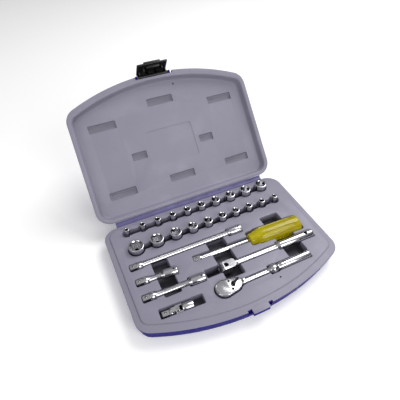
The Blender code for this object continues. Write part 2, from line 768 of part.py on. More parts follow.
def build_latch(pivot):
    # hangs over the tab, with its hook under it; x runs along the pin
    place = (0, *in_lid(latch_y, latch_z))
    frame = empty("latch_axis", place, (-LATCH_AJAR, 0, 0), pivot)
    inner = front_y - TAB_PROUD - 0.0010 - latch_y
    outer = inner - 0.0022
    tab_low = rim_z - TAB_DEPTH - latch_z
    foot = tab_low - 0.0060
    latch = rod("latch", -LATCH_HALF, LATCH_HALF, LATCH_BARREL, "X", 16, (0, 0), parts, frame)
    plate = box("latch_plate", (-LATCH_HALF, outer, foot), (LATCH_HALF, inner, LATCH_BARREL), cutters, frame)
    bridge = box("latch_bridge", (-LATCH_HALF, inner - 0.001, 0.0001), (LATCH_HALF, 0, LATCH_BARREL - 0.0001), cutters, frame)
    hook = box(
        "latch_hook", (-0.0095, inner - 0.001, tab_low - 0.0028), (0.0095, inner + 0.0037, tab_low - 0.0005), cutters, frame
    )
    lip = box("latch_lip", (-0.012, outer - 0.002, foot - 0.0002), (0.012, outer + 0.001, foot + 0.002), cutters, frame)
    join(latch, plate, bridge, hook, lip)
    for side in (-1, 1):
        near, far = sorted((side * (TAB_HALF + 0.0018), side * (TAB_HALF + 0.0038)))
        rib = box("latch_rib", (near, inner - 0.001, tab_low - 0.0002), (far, 0.0002, tab_low + 0.0052), cutters, frame)
        join(latch, rib)
    bore = rod("latch_bore", -0.03, 0.03, LATCH_PIN_RADIUS + 0.0003, "X", 12, (0, 0), cutters, frame)
    cut(latch, bore)
    pin = rod("latch_pin", -0.0260, 0.0260, LATCH_PIN_RADIUS, "X", 12, (0, 0), parts, pivot)
    pin.location = place
    chrome(pin)
    return paint(latch, BLACK, 0.4)


def build_case():
    build_base_shell()
    build_base_tray()
    build_hinge_web()
    pivot = empty("lid_axis", (0, hinge_y, hinge_z), (-LID_ANGLE, 0, 0))
    build_lid_shell(pivot)
    build_lid_panel(pivot)
    build_latch(pivot)


# ---- Sockets


def hexagon(across):
    reach = across / math.sqrt(3)
    return [(reach * math.cos(math.pi * k / 3), reach * math.sin(math.pi * k / 3)) for k in range(6)]


def build_socket(prefix, socket, x, y):
    label, across, nose = socket
    name = f"socket_{prefix}_{label}"
    frame = empty(name + "_seat", (x, y, socket_z))
    nose_radius = nose / 2
    small = nose < SMALL_DRIVE_END
    end_radius = (SMALL_DRIVE_END if small else min(nose, LARGE_DRIVE_END)) / 2
    bevel = 0.0004
    body = turned(
        name,
        [
            (0, SOCKET_LENGTH),
            (nose_radius - bevel, SOCKET_LENGTH),
            (nose_radius, SOCKET_LENGTH - bevel),
            (nose_radius, DRIVE_END_LENGTH + 0.0020),
            (end_radius, DRIVE_END_LENGTH),
            (end_radius, bevel),
            (end_radius - bevel, 0),
            (0, 0),
        ],
        frame,
    )
    hex_hole = prism(name + "_hex", hexagon(across), SOCKET_LENGTH - HEX_DEPTH, SOCKET_LENGTH + 0.001, cutters, frame)
    half = DRIVE_HOLE / 2
    square = box(name + "_square", (-half, -half, -0.001), (half, half, SQUARE_DEPTH), cutters, frame)
    through = min(across / 2 - 0.0004, 0.0027)
    bore = rod(name + "_bore", SQUARE_DEPTH - 0.001, SOCKET_LENGTH - HEX_DEPTH + 0.001, through, "Z", 8, (0, 0), cutters, frame)
    cut(body, bore, hex_hole, square)
    return chrome(body)


def build_sockets():
    for socket, x in zip(METRIC_SOCKETS, metric_x):
        build_socket("metric", socket, x, back_y - metric_back)
    for socket, x in zip(INCH_SOCKETS, inch_x):
        build_socket("inch", socket, x, back_y - inch_back)


# ---- Drive tools. A lying tool's frame has +Z along the tool and -X upwards.


def lying(name, x, y, z, turn):
    return empty(name, (x, y, z), (0, math.pi / 2, turn))


def drive_end(thing, name, frame, tip, up=True):
    # the square, with its detent ball; it runs from `tip` by DRIVE_LENGTH, upwards or downwards
    half = DRIVE / 2
    step = DRIVE_LENGTH + 0.0006
    low, high = (tip, tip + step) if up else (tip - step, tip)
    square = box(name + "_square", (-half, -half, low), (half, half, high), cutters, frame)
    join(thing, square)
    middle = tip + (0.0042 if up else -0.0042)
    centre = half + BALL_PROUD - BALL_RADIUS
    bottom = centre - BALL_RADIUS - BALL_GAP
    hole = rod(
        name + "_ball_hole", -half - 0.001, -bottom, BALL_RADIUS + BALL_GAP, "X", 10, (0, middle), cutters, frame
    )
    cut(thing, hole)
    bm = bmesh.new()
    bmesh.ops.create_uvsphere(bm, u_segments=8, v_segments=6, radius=BALL_RADIUS)
    bmesh.ops.translate(bm, verts=bm.verts, vec=(-centre, 0, middle))
    return chrome(add(name + "_ball", bm, parts, frame))


def socket_end(thing, name, frame, end, up=False):
    # a square hole that opens at `end`
    half = DRIVE_HOLE / 2
    low, high = (end - 0.001, end + DRIVE_HOLE_DEPTH) if up else (end - DRIVE_HOLE_DEPTH, end + 0.001)
    cut(thing, box(name + "_hole", (-half, -half, low), (half, half, high), cutters, frame))


def build_bar(name, x, y, length, turn):
    frame = lying(name + "_seat", x, y, bar_z, turn)
    bevel = 0.0005
    mouth = length - BAR_SOCKET_LENGTH
    body = turned(
        name,
        [
            (0, length),
            (BAR_SOCKET - bevel, length),
            (BAR_SOCKET, length - bevel),
            (BAR_SOCKET, mouth),
            (BAR_SHAFT, mouth - 0.0030),
            (BAR_SHAFT, BAR_COLLAR_END + 0.0025),
            (BAR_COLLAR, BAR_COLLAR_END),
            (BAR_COLLAR, DRIVE_LENGTH + bevel),
            (BAR_COLLAR - bevel, DRIVE_LENGTH),
            (0, DRIVE_LENGTH),
        ],
        frame,
    )
    drive_end(body, name, frame, 0)
    socket_end(body, name, frame, length)
    return chrome(body)


def build_spinner():
    frame = lying("spinner_seat", spinner_x, back_y - spinner_back, spinner_z, SPINNER_TURN)
    nose = SPINNER_LENGTH - GRIP_LENGTH
    shaft = turned(
        "spinner_shaft",
        [
            (0, nose + SHAFT_INSIDE),
            (SPINNER_SHAFT, nose + SHAFT_INSIDE),
            (SPINNER_SHAFT, DRIVE_LENGTH + 0.003),
            (DRIVE / 2 + 0.0006, DRIVE_LENGTH),
            (0, DRIVE_LENGTH),
        ],
        frame,
    )
    drive_end(shaft, "spinner", frame, 0)
    chrome(shaft)
    grip = turned(
        "spinner_grip",
        [
            (0, SPINNER_LENGTH),
            (GRIP_RADIUS - 0.0022, SPINNER_LENGTH),
            (GRIP_RADIUS, SPINNER_LENGTH - 0.0030),
            (GRIP_RADIUS, nose + 0.0200),
            (GRIP_RADIUS - 0.0012, nose + 0.0120),
            (GRIP_NOSE, nose + 0.0030),
            (GRIP_NOSE - 0.0015, nose),
            (0, nose),
        ],
        frame,
        sides=24,
    )
    for k in range(FLUTES):
        angle = 2 * math.pi * (k + 0.5) / FLUTES
        reach = GRIP_RADIUS + FLUTE_RADIUS * 0.55
        flute = rod(
            f"flute_{k}", nose + 0.014, SPINNER_LENGTH - 0.006, FLUTE_RADIUS, "Z", 10,
            (reach * math.cos(angle), reach * math.sin(angle)), cutters, frame,
        )
        cut(grip, flute)
    bore = rod("grip_bore", nose - 0.001, nose + SHAFT_INSIDE + 0.0004, SPINNER_SHAFT + 0.0003, "Z", 16, (0, 0), cutters, frame)
    seat = rod(
        "insert_seat", SPINNER_LENGTH - INSERT_LENGTH - 0.0004, SPINNER_LENGTH + 0.001, INSERT_RADIUS + 0.0003,
        "Z", 16, (0, 0), cutters, frame,
    )
    cut(grip, bore, seat)
    paint(grip, YELLOW, 0.15, 0.0, 0.8)
    insert = rod(
        "spinner_insert", SPINNER_LENGTH - INSERT_LENGTH, SPINNER_LENGTH - 0.0006, INSERT_RADIUS, "Z", 16, (0, 0), parts, frame
    )
    socket_end(insert, "spinner_insert", frame, SPINNER_LENGTH - 0.0006)
    chrome(insert)


def build_flex_handle():
    frame = lying("flex_seat", flex_x, back_y - flex_back, drive_z, FLEX_TURN)
    grip = FLEX_LENGTH - FLEX_GRIP_LENGTH
    handle = turned(
        "flex_handle",
        [
            (0, FLEX_LENGTH),
            (FLEX_GRIP - 0.0012, FLEX_LENGTH),
            (FLEX_GRIP, FLEX_LENGTH - 0.0015),
            (FLEX_GRIP, grip + 0.0030),
            (FLEX_SHAFT, grip),
            (FLEX_SHAFT, FORK_LENGTH + 0.0030),
            (FORK_RADIUS - 0.0002, FORK_LENGTH - 0.0010),
            (0, FORK_LENGTH - 0.0040),
        ],
        frame,
    )
    wide = FORK_WIDTH / 2
    eye = rod("fork_eye", -wide, wide, FORK_RADIUS, "Y", 16, (0, FORK_RADIUS), cutters, frame)
    block = box(
        "fork_block", (-FORK_RADIUS + 0.0001, -wide, FORK_RADIUS), (FORK_RADIUS - 0.0001, wide, FORK_LENGTH), cutters, frame
    )
    slot = box(
        "fork_slot", (-0.01, -FORK_SLOT / 2, -0.001), (0.01, FORK_SLOT / 2, FORK_SLOT_LENGTH), cutters, frame
    )
    pin_hole = rod("fork_pin_hole", -0.01, 0.01, 0.0016, "Y", 12, (0, FORK_RADIUS), cutters, frame)
    cross = rod("cross_hole", -0.01, 0.01, CROSS_HOLE, "X", 12, (0, FLEX_LENGTH - CROSS_HOLE_FROM_END), cutters, frame)
    join(handle, eye, block)
    cut(handle, slot, pin_hole, cross)
    chrome(handle)
    pivot = empty("flex_axis", (0, 0, FORK_RADIUS), (0, -math.pi / 2, 0), frame)
    half = FORK_SLOT / 2 - 0.0003
    head = rod("flex_head", -half, half, FORK_RADIUS - 0.0003, "Y", 16, (0, 0), parts, pivot)
    neck = box("flex_neck", (-0.0030, -half, -0.0075), (0.0030, half, 0), cutters, pivot)
    collar = rod("flex_collar", DRIVE_LENGTH - FLEX_REACH, -0.0054, 0.0047, "Z", 16, (0, 0), cutters, pivot)
    join(head, neck, collar)
    drive_end(head, "flex", pivot, -FLEX_REACH)
    hole = rod("head_pin_hole", -0.01, 0.01, 0.0016, "Y", 12, (0, 0), cutters, pivot)
    cut(head, hole)
    chrome(head)
    chrome(rod("flex_pin", -wide + 0.0002, wide - 0.0002, 0.0013, "Y", 12, (0, 0), parts, pivot))


def build_ratchet():
    # upright frame on the drive's axis, with the handle along +X
    frame = empty("ratchet_seat", (ratchet_x, back_y - ratchet_back, drive_z))
    handle = lying("ratchet_handle_axis", 0, 0, 0, 0)
    handle.parent = frame
    top = HEAD_THICKNESS / 2
    cover_low = top - COVER_THICKNESS
    grip = COLLAR_X + RATCHET_COLLAR
    body = turned(
        "ratchet_body",
        [
            (0, RATCHET_LENGTH),
            (RATCHET_GRIP - 0.0012, RATCHET_LENGTH),
            (RATCHET_GRIP, RATCHET_LENGTH - 0.0015),
            (RATCHET_GRIP, grip + 0.0040),
            (RATCHET_GRIP - 0.0012, grip + 0.0005),
            (RATCHET_COLLAR - 0.0010, grip - 0.0020),
            (RATCHET_COLLAR, COLLAR_X),
            (RATCHET_COLLAR - 0.0010, COLLAR_X - 0.0040),
            (RATCHET_SHANK, COLLAR_X - RATCHET_COLLAR),
            (RATCHET_SHANK, 0.0240),
            (0, 0.0240),
        ],
        handle,
    )
    head = prism("ratchet_head", head_outline(0), -top, top, cutters, frame)
    join(body, head)
    seat = prism("cover_seat", head_outline(0.0012, 0), cover_low - JOINT_LINE, top + 0.001, cutters, frame)
    gear_floor = -top + 0.0020
    gear_room = rod("gear_room", gear_floor, top, GEAR_RADIUS + 0.0004, "Z", 24, (0, 0), cutters, frame)
    pawl_room = rod("pawl_room", gear_floor, top, 0.0043, "Z", 16, (LEVER_X, 0), cutters, frame)
    journal = rod("journal_hole", -top - 0.001, gear_floor + 0.001, JOURNAL_RADIUS + 0.0003, "Z", 16, (0, 0), cutters, frame)
    cut(body, seat, gear_room, pawl_room, journal)
    for side in (-1, 1):
        at = (SCREW_X, side * SCREW_Y)
        cut(body, rod("screw_hole", 0.0006, top, 0.0011, "Z", 8, at, cutters, frame))
    chrome(body)

    cover = prism("ratchet_cover", head_outline(0.0015, 0), cover_low, top, parts, frame)
    cut(cover, rod("lever_hole", 0, 0.01, 0.0020, "Z", 12, (LEVER_X, 0), cutters, frame))
    for number, side in enumerate((-1, 1)):
        at = (SCREW_X, side * SCREW_Y)
        cut(cover, rod("cover_hole", 0, 0.01, 0.0016, "Z", 10, at, cutters, frame))
        screw = rod(f"cover_screw_{number + 1}", 0.0009, top + 0.0002, 0.0008, "Z", 10, at, parts, frame)
        join(screw, rod("screw_head", top - 0.0008, top + 0.0003, 0.0013, "Z", 10, at, cutters, frame))
        paint(screw, BLACK, 0.3, 0.6)
    chrome(cover)
    build_ratchet_drive(frame, gear_floor, cover_low)
    build_reverser(frame, gear_floor, cover_low, top)


def build_ratchet_drive(frame, floor, ceiling):
    teeth = []
    for k in range(GEAR_TEETH):
        for step, radius in ((0, GEAR_ROOT), (0.5, GEAR_RADIUS)):
            angle = 2 * math.pi * (k + step) / GEAR_TEETH
            teeth.append((radius * math.cos(angle), radius * math.sin(angle)))
    low, high = floor + 0.0003, ceiling - 0.0006
    gear = prism("ratchet_gear", teeth, low, high, parts, frame)
    stem = rod("gear_journal", DRIVE_LENGTH - DRIVE_REACH, low + 0.001, JOURNAL_RADIUS, "Z", 16, (0, 0), cutters, frame)
    join(gear, stem)
    drive_end(gear, "ratchet", frame, -DRIVE_REACH)
    chrome(gear)


def build_reverser(frame, floor, ceiling, top):
    axis = empty("lever_axis", (LEVER_X, 0, 0), (0, 0, LEVER_ANGLE), frame)
    low, high = floor + 0.0003, ceiling - 0.0006
    pawl = box("ratchet_pawl", (-0.0026, -0.0026, low), (0.0024, 0.0026, high), parts, axis)
    paint(pawl, STEEL, 0.35, 1.0)
    stem = rod("ratchet_lever", high + 0.0003, top + 0.0020, 0.0016, "Z", 12, (0, 0), parts, axis)
    hub = rod("lever_hub", top + 0.0004, top + 0.0021, 0.0027, "Z", 14, (0, 0), cutters, axis)
    tail = box("lever_tail", (0, -0.0013, top + 0.0005), (LEVER_LENGTH, 0.0013, top + 0.0020), cutters, axis)
    join(stem, hub, tail)
    paint(stem, BLACK, 0.3, 0.3)


def ear_pair(thing, name, frame, low, high, centre, across):
    # two parallel ears with round ends about the cross; `across` is the axis of their pin
    inner, outer = EAR_INNER, EAR_INNER + EAR_THICKNESS
    for side in (-1, 1):
        near, far = sorted((side * inner, side * outer))
        span = {"X": ((near, -EAR_RADIUS), (far, EAR_RADIUS)), "Y": ((-EAR_RADIUS, near), (EAR_RADIUS, far))}[across]
        arm = box(f"{name}_arm", (*span[0], low), (*span[1], high), cutters, frame)
        eye = rod(f"{name}_eye", near, far, EAR_RADIUS, across, 12, (0, centre), cutters, frame)
        join(thing, arm, eye)
    hole = rod(f"{name}_pin_hole", -0.01, 0.01, 0.0013, across, 10, (0, centre), cutters, frame)
    cut(thing, hole)


def build_universal_joint():
    frame = lying("universal_joint_seat", joint_x, back_y - joint_back, joint_z, JOINT_TURN)
    centre = JOINT_CENTRE
    body = turned(
        "joint_socket_yoke",
        [
            (0, JOINT_LENGTH),
            (JOINT_BODY - 0.0005, JOINT_LENGTH),
            (JOINT_BODY, JOINT_LENGTH - 0.0005),
            (JOINT_BODY, centre + 0.0068),
            (0.0050, centre + 0.0056),
            (0, centre + 0.0056),
        ],
        frame,
    )
    ear_pair(body, "socket_yoke", frame, centre, centre + 0.0062, centre, "Y")
    socket_end(body, "joint_socket", frame, JOINT_LENGTH)
    chrome(body)
    cross_axis = empty("cross_axis", (0, 0, centre), (0, 0, 0), frame)
    cross = box(
        "joint_cross", (-CROSS_HALF,) * 3, (CROSS_HALF,) * 3, parts, cross_axis
    )
    cut(cross, rod("cross_bore_y", -0.01, 0.01, 0.0013, "Y", 10, (0, 0), cutters, cross_axis))
    cut(cross, rod("cross_bore_x", -0.01, 0.01, 0.0013, "X", 10, (0, 0), cutters, cross_axis))
    chrome(cross)
    outer = EAR_INNER + EAR_THICKNESS
    long_pin = rod("joint_long_pin", -outer, outer, 0.0010, "Y", 10, (0, 0), parts, cross_axis)
    chrome(long_pin)
    short_pin = rod("joint_short_pin", 0.0014, outer, 0.0010, "X", 10, (0, 0), parts, cross_axis)
    chrome(short_pin)
    other_pin = rod("joint_short_pin_2", -outer, -0.0014, 0.0010, "X", 10, (0, 0), parts, cross_axis)
    chrome(other_pin)
    yoke_axis = empty("yoke_axis", (0, 0, 0), (0, 0, 0), cross_axis)
    yoke = turned(
        "joint_drive_yoke",
        [
            (0, -0.0056),
            (0.0050, -0.0056),
            (0.0050, -0.0066),
            (JOINT_COLLAR, DRIVE_LENGTH - centre + 0.0005),
            (JOINT_COLLAR - 0.0004, DRIVE_LENGTH - centre),
            (0, DRIVE_LENGTH - centre),
        ],
        yoke_axis,
    )
    ear_pair(yoke, "drive_yoke", yoke_axis, -0.0062, 0, 0, "X")
    drive_end(yoke, "joint", yoke_axis, -centre)
    chrome(yoke)


def build_tools():
    build_bar("extension_long", long_x, back_y - long_back, LONG_BAR, LONG_TURN)
    build_bar("extension_short", short_x, back_y - short_back, SHORT_BAR, SHORT_TURN)
    build_bar("extension_medium", medium_x, back_y - medium_back, MEDIUM_BAR, MEDIUM_TURN)
    build_spinner()
    build_flex_handle()
    build_ratchet()
    build_universal_joint()


def settle():
    # fixes each part's evaluated shape and shades its round faces smooth
    bpy.context.view_layer.update()
    graph = bpy.context.evaluated_depsgraph_get()
    solids = [thing for thing in parts.objects if thing.type == "MESH"]
    shapes = [bpy.data.meshes.new_from_object(thing.evaluated_get(graph)) for thing in solids]
    for thing, shape in zip(solids, shapes):
        thing.modifiers.clear()
        shape.name = thing.name
        thing.data = shape
        shape.shade_smooth()
        shape.set_sharp_from_angle(angle=math.radians(35))


build_case()
build_sockets()
build_tools()
settle()
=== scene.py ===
import json
import math

import bmesh
import bpy
from mathutils import Matrix, Vector

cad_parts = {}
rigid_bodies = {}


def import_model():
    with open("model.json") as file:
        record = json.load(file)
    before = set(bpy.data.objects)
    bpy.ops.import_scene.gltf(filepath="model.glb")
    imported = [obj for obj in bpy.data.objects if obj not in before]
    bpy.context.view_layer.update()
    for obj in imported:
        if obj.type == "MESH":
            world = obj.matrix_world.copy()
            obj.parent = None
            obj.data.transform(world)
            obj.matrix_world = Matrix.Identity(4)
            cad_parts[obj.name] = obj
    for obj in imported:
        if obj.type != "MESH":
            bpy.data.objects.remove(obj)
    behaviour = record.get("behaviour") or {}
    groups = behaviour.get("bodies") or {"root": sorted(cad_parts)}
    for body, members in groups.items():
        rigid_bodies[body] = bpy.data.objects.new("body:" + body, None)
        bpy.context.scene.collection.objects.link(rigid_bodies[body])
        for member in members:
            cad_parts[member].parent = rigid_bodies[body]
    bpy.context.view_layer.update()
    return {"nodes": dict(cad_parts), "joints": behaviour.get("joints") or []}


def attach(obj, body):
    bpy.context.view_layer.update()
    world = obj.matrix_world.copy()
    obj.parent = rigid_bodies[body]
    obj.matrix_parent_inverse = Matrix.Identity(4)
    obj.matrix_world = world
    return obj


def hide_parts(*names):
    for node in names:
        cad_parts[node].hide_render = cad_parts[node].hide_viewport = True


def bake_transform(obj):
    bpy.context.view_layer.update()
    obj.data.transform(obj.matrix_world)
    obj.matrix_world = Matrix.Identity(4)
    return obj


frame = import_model()
joints = {joint["name"]: joint for joint in frame["joints"]}
bpy.context.scene.view_settings.view_transform = "Standard"
print("frame loaded:", len(frame["nodes"]), "nodes")


class Flow:
    # a number that varies over a surface: sums and products of it add the nodes they need
    def __init__(self, finish, socket):
        self.finish = finish
        self.socket = socket

    def math(self, operation, first, second=0.5):
        made = self.finish.node("ShaderNodeMath", {"operation": operation}, {0: first, 1: second})
        return Flow(self.finish, made.outputs[0])

    def __add__(self, other):
        return self.math("ADD", self, other)

    def __sub__(self, other):
        return self.math("SUBTRACT", self, other)

    def __rsub__(self, other):
        return self.math("SUBTRACT", other, self)

    def __mul__(self, other):
        return self.math("MULTIPLY", self, other)

    def __pow__(self, other):
        return self.math("POWER", self, other)

    __radd__ = __add__
    __rmul__ = __mul__


class Finish:
    # one material: its constant values are set here, and varying ones are fed afterwards
    def __init__(self, name, **constants):
        self.material = bpy.data.materials.new(name)
        self.material.use_nodes = True
        self.tree = self.material.node_tree
        self.shader = self.tree.nodes["Principled BSDF"]
        for socket, value in constants.items():
            self.shader.inputs[socket.replace("_", " ")].default_value = value
        self.place = self.node("ShaderNodeTexCoord").outputs["Object"]

    def node(self, kind, settings=None, sockets=None):
        made = self.tree.nodes.new(kind)
        for key, value in (settings or {}).items():
            if key == "stops":
                self.setStops(made.color_ramp, value)
            else:
                setattr(made, key, value)
        for key, value in (sockets or {}).items():
            self.feed(made.inputs[key], value)
        return made

    def setStops(self, ramp, stops):
        while len(ramp.elements) < len(stops):
            ramp.elements.new(0.5)
        for element, (position, level) in zip(ramp.elements, stops):
            element.position = position
            element.color = (level, level, level, 1)

    def feed(self, socket, value):
        if isinstance(value, Flow):
            value = value.socket
        if isinstance(value, bpy.types.NodeSocket):
            self.tree.links.new(value, socket)
        else:
            socket.default_value = value

    def spread(self, stretch, turn=(0, 0, 0)):
        # the surface's own coordinates, stretched along some axes
        return self.node(
            "ShaderNodeMapping", {}, {"Vector": self.place, "Scale": stretch, "Rotation": turn}
        ).outputs[0]

    def noise(self, scale, detail=2, where=None, distortion=0.0):
        sockets = {"Vector": where or self.place, "Scale": scale, "Detail": detail, "Distortion": distortion}
        return Flow(self, self.node("ShaderNodeTexNoise", {}, sockets).outputs["Fac"])

    def ramp(self, value, *stops):
        made = self.node("ShaderNodeValToRGB", {"stops": stops}, {"Fac": value})
        return Flow(self, made.outputs["Color"])

    def blendColours(self, factor, first, second):
        made = self.node("ShaderNodeMix", {"data_type": "RGBA"})
        self.feed(made.inputs[0], factor)
        self.feed(made.inputs[6], first)
        self.feed(made.inputs[7], second)
        return made.outputs[2]

    def attribute(self, name):
        return Flow(self, self.node("ShaderNodeAttribute", {"attribute_name": name}).outputs["Fac"])

    def bump(self, height, strength, distance):
        sockets = {"Height": height, "Strength": strength, "Distance": distance}
        self.set("Normal", self.node("ShaderNodeBump", {}, sockets).outputs[0])

    def set(self, socket, value):
        self.feed(self.shader.inputs[socket], value)


def rgba(red, green, blue):
    return (red, green, blue, 1)


def makePlastic(name, colour, paler, darker, roughness, grain=0.12, grainSize=2600, pocketShade=0.0, gloss=0.42):
    # moulded plastic: fine spark-eroded grain, faint flow clouds, rubbed patches and hair scratches
    finish = Finish(name, Roughness=roughness, Specular_IOR_Level=gloss)
    clouds = finish.noise(9, 3)
    grains = finish.noise(grainSize, 2)
    speckle = finish.noise(900, 1)
    hairs = finish.ramp(
        finish.noise(60, 2, finish.spread((1, 14, 6), (0, 0, 0.5))), (0.69, 0), (0.71, 1), (0.73, 0)
    )
    rubbed = finish.ramp(finish.noise(26, 4), (0.52, 0), (0.75, 1))
    base = finish.blendColours(finish.ramp(clouds, (0.35, 0), (0.65, 1)), darker, colour)
    base = finish.blendColours(rubbed * 0.35 + (speckle - 0.5) * 0.30, base, paler)
    base = finish.blendColours(hairs * 0.22, base, paler)
    if pocketShade:
        # painted shade: the sheet's colour is darkened towards near-black down in the pockets, by their
        # depth, standing in for the shade that falls there
        base = finish.blendColours(finish.attribute("hollow") * pocketShade, base, rgba(0.012, 0.011, 0.016))
    finish.set("Base Color", base)
    finish.set("Roughness", roughness + (grains - 0.5) * 0.14 - rubbed * 0.08)
    finish.bump(grains + hairs * -0.4, grain, 0.0002)
    return finish.material


def makeChrome(name, colour, roughness, brushed=0.0, wear=1.0):
    # polished plating: smeared in places, with hair-fine handling scratches
    finish = Finish(name, Metallic=1.0)
    smear = finish.noise(48, 4, None, 0.6)
    hairs = finish.ramp(
        finish.noise(
            1500, 2, finish.spread((0.10, 1, 1), (0.3, 0.2, 0.15)), 0.4
        ), (0.62, 0), (0.66, 1), (0.70, 0)
    )
    lines = finish.noise(2400, 1, finish.spread((0.03, 1, 1)))
    stain = finish.ramp(finish.noise(120, 3), (0.56, 0), (0.82, 1))
    dull = rgba(colour[0] * 0.70, colour[1] * 0.68, colour[2] * 0.66)
    finish.set("Base Color", finish.blendColours(stain * 0.35 * wear + hairs * 0.06, rgba(*colour), dull))
    finish.set(
        "Roughness", roughness + (smear - 0.5) * 0.10 * wear + hairs * 0.05 * wear + (lines - 0.5) * brushed
    )
    finish.bump(lines * brushed + hairs * -0.10 * wear + smear * 0.2, 0.03, 0.0001)
    return finish.material


def makeAcetate(name):
    # clear yellow handle stock: you see into it, with faint cloudy streaks along the grip
    finish = Finish(
        name,
        Transmission_Weight=0.45,
        IOR=1.45,
        Specular_IOR_Level=0.30,
    )
    streaks = finish.noise(60, 3, finish.spread((0.2, 1, 1)))
    smear = finish.noise(160, 2)
    flow = finish.ramp(streaks, (0.35, 0), (0.65, 1))
    base = finish.blendColours(flow, rgba(0.52, 0.43, 0.0006), rgba(0.80, 0.70, 0.001))
    finish.set("Base Color", base)
    finish.set("Roughness", 0.12 + smear * 0.12)
    finish.bump(smear, 0.03, 0.0002)
    return finish.material


# grey plastic with painted shade: its colour darkens with pocket depth, through the 'hollow' mask
greyPlastic = makePlastic(
    "greyPlastic", rgba(
        0.235, 0.224, 0.290
    ), rgba(0.285, 0.273, 0.345), rgba(0.212, 0.202, 0.264), 0.46, 0.16, pocketShade=0.86
)
bluePlastic = makePlastic(
    "bluePlastic", rgba(
        0.014, 0.007, 0.190
    ), rgba(0.028, 0.018, 0.260), rgba(0.009, 0.005, 0.150), 0.50, 0.10, 2200, gloss=0.05
)
webPlastic = makePlastic(
    "webPlastic", rgba(0.105, 0.095, 0.220), rgba(0.160, 0.150, 0.300), rgba(0.080, 0.072, 0.185), 0.42, 0.08
)
blackPlastic = makePlastic(
    "blackPlastic", rgba(
        0.0050, 0.0050, 0.0058
    ), rgba(0.018, 0.018, 0.020), rgba(0.003, 0.003, 0.0035), 0.34, 0.10
)
chrome = makeChrome("chrome", (0.50, 0.50, 0.53), 0.16)
darkChrome = makeChrome("darkChrome", (0.30, 0.30, 0.33), 0.22)
groundSteel = makeChrome("groundSteel", (0.42, 0.42, 0.44), 0.26, 0.12)
blackSteel = makeChrome("blackSteel", (0.012, 0.012, 0.014), 0.34, 0.04, 0.5)
acetate = makeAcetate("acetate")
print("finishes made")


# mesh helpers


def outward(bm):
    # welds doubles and turns every face outwards
    bmesh.ops.remove_doubles(bm, verts=bm.verts, dist=0.000002)
    bmesh.ops.recalc_face_normals(bm, faces=bm.faces)
    if bm.calc_volume(signed=True) < 0:
        bmesh.ops.reverse_faces(bm, faces=bm.faces)
    return bm


def asObject(bm, name="working"):
    mesh = bpy.data.meshes.new(name)
    bm.to_mesh(mesh)
    bm.free()
    thing = bpy.data.objects.new(name, mesh)
    bpy.context.scene.collection.objects.link(thing)
    return thing


def combine(bm, others, operation="DIFFERENCE"):
    # one Boolean of a shape with several others
    base = asObject(outward(bm))
    group = bpy.data.collections.new("group")
    bpy.context.scene.collection.children.link(group)
    for other in others:
        thing = asObject(outward(other))
        bpy.context.scene.collection.objects.unlink(thing)
        group.objects.link(thing)
    step = base.modifiers.new("combine", "BOOLEAN")
    step.operation = operation
    step.operand_type = "COLLECTION"
    step.collection = group
    step.solver = "EXACT"
    bpy.context.view_layer.update()
    result = bmesh.new()
    result.from_object(base, bpy.context.evaluated_depsgraph_get())
    for thing in [base, *group.objects]:
        bpy.data.objects.remove(thing)
    bpy.data.collections.remove(group)
    return result


def piece(name, bm, body, finish, nodes=(), matrix=None, smooth=32, depthOf=None):
    # a finished piece: in place, outward, smooth where it is round, riding on its body
    outward(bm)
    # each vertex's depth share is stored as 'hollow', the mask for shade painted into the pockets
    if depthOf:
        layer = bm.verts.layers.float.new("hollow")
        for vert in bm.verts:
            vert[layer] = min(max(depthOf(vert.co.z), 0), 1)
    if matrix:
        bmesh.ops.transform(bm, matrix=matrix, verts=bm.verts)
    thing = asObject(bm, name)
    thing.data.shade_smooth()
    thing.data.set_sharp_from_angle(angle=math.radians(smooth))
    thing.data.materials.append(finish)
    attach(thing, body)
    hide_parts(*nodes)
    return thing


def lathe(profile, steps=48, bm=None):
    # a profile of (radius, height) points, spun round the vertical axis
    bm = bm or bmesh.new()
    points = [bm.verts.new((radius, 0, height)) for radius, height in profile]
    edges = [bm.edges.new(pair) for pair in zip(points, points[1:])]
    bmesh.ops.spin(
        bm, geom=points + edges, cent=(0, 0, 0),
        axis=(0, 0, 1), angle=2 * math.pi, steps=steps, use_merge=True
    )
    bmesh.ops.remove_doubles(bm, verts=bm.verts, dist=0.000002)
    return bm


def cylinder(radius, low, high, axis="Z", at=(0, 0, 0), steps=32, tip=None):
    bm = bmesh.new()
    bmesh.ops.create_cone(
        bm,
        cap_ends=True,
        segments=steps,
        radius1=radius,
        radius2=radius if tip is None else tip,
        depth=high - low,
        matrix=Matrix.Translation((0, 0, (low + high) / 2)),
    )
    turn = {"X": Matrix.Rotation(math.pi / 2, 4, "Y"), "Y": Matrix.Rotation(-math.pi / 2, 4, "X")}.get(axis)
    if turn:
        bmesh.ops.transform(bm, matrix=turn, verts=bm.verts)
    bmesh.ops.translate(bm, verts=bm.verts, vec=at)
    return bm


def block(low, high, bevel=0.0, segments=2):
    bm = bmesh.new()
    bmesh.ops.create_cube(bm, size=1)
    size = [b - a for a, b in zip(low, high)]
    bmesh.ops.scale(bm, vec=size, verts=bm.verts)
    bmesh.ops.translate(bm, verts=bm.verts, vec=[(a + b) / 2 for a, b in zip(low, high)])
    if bevel:
        roundEdges(bm, bm.edges[:], bevel, segments)
    return bm


def roundEdges(bm, edges, width, segments=2):
    bmesh.ops.bevel(
        bm, geom=edges, offset=width,
        affect="EDGES", segments=segments, profile=0.5, material=-1, clamp_overlap=True
    )


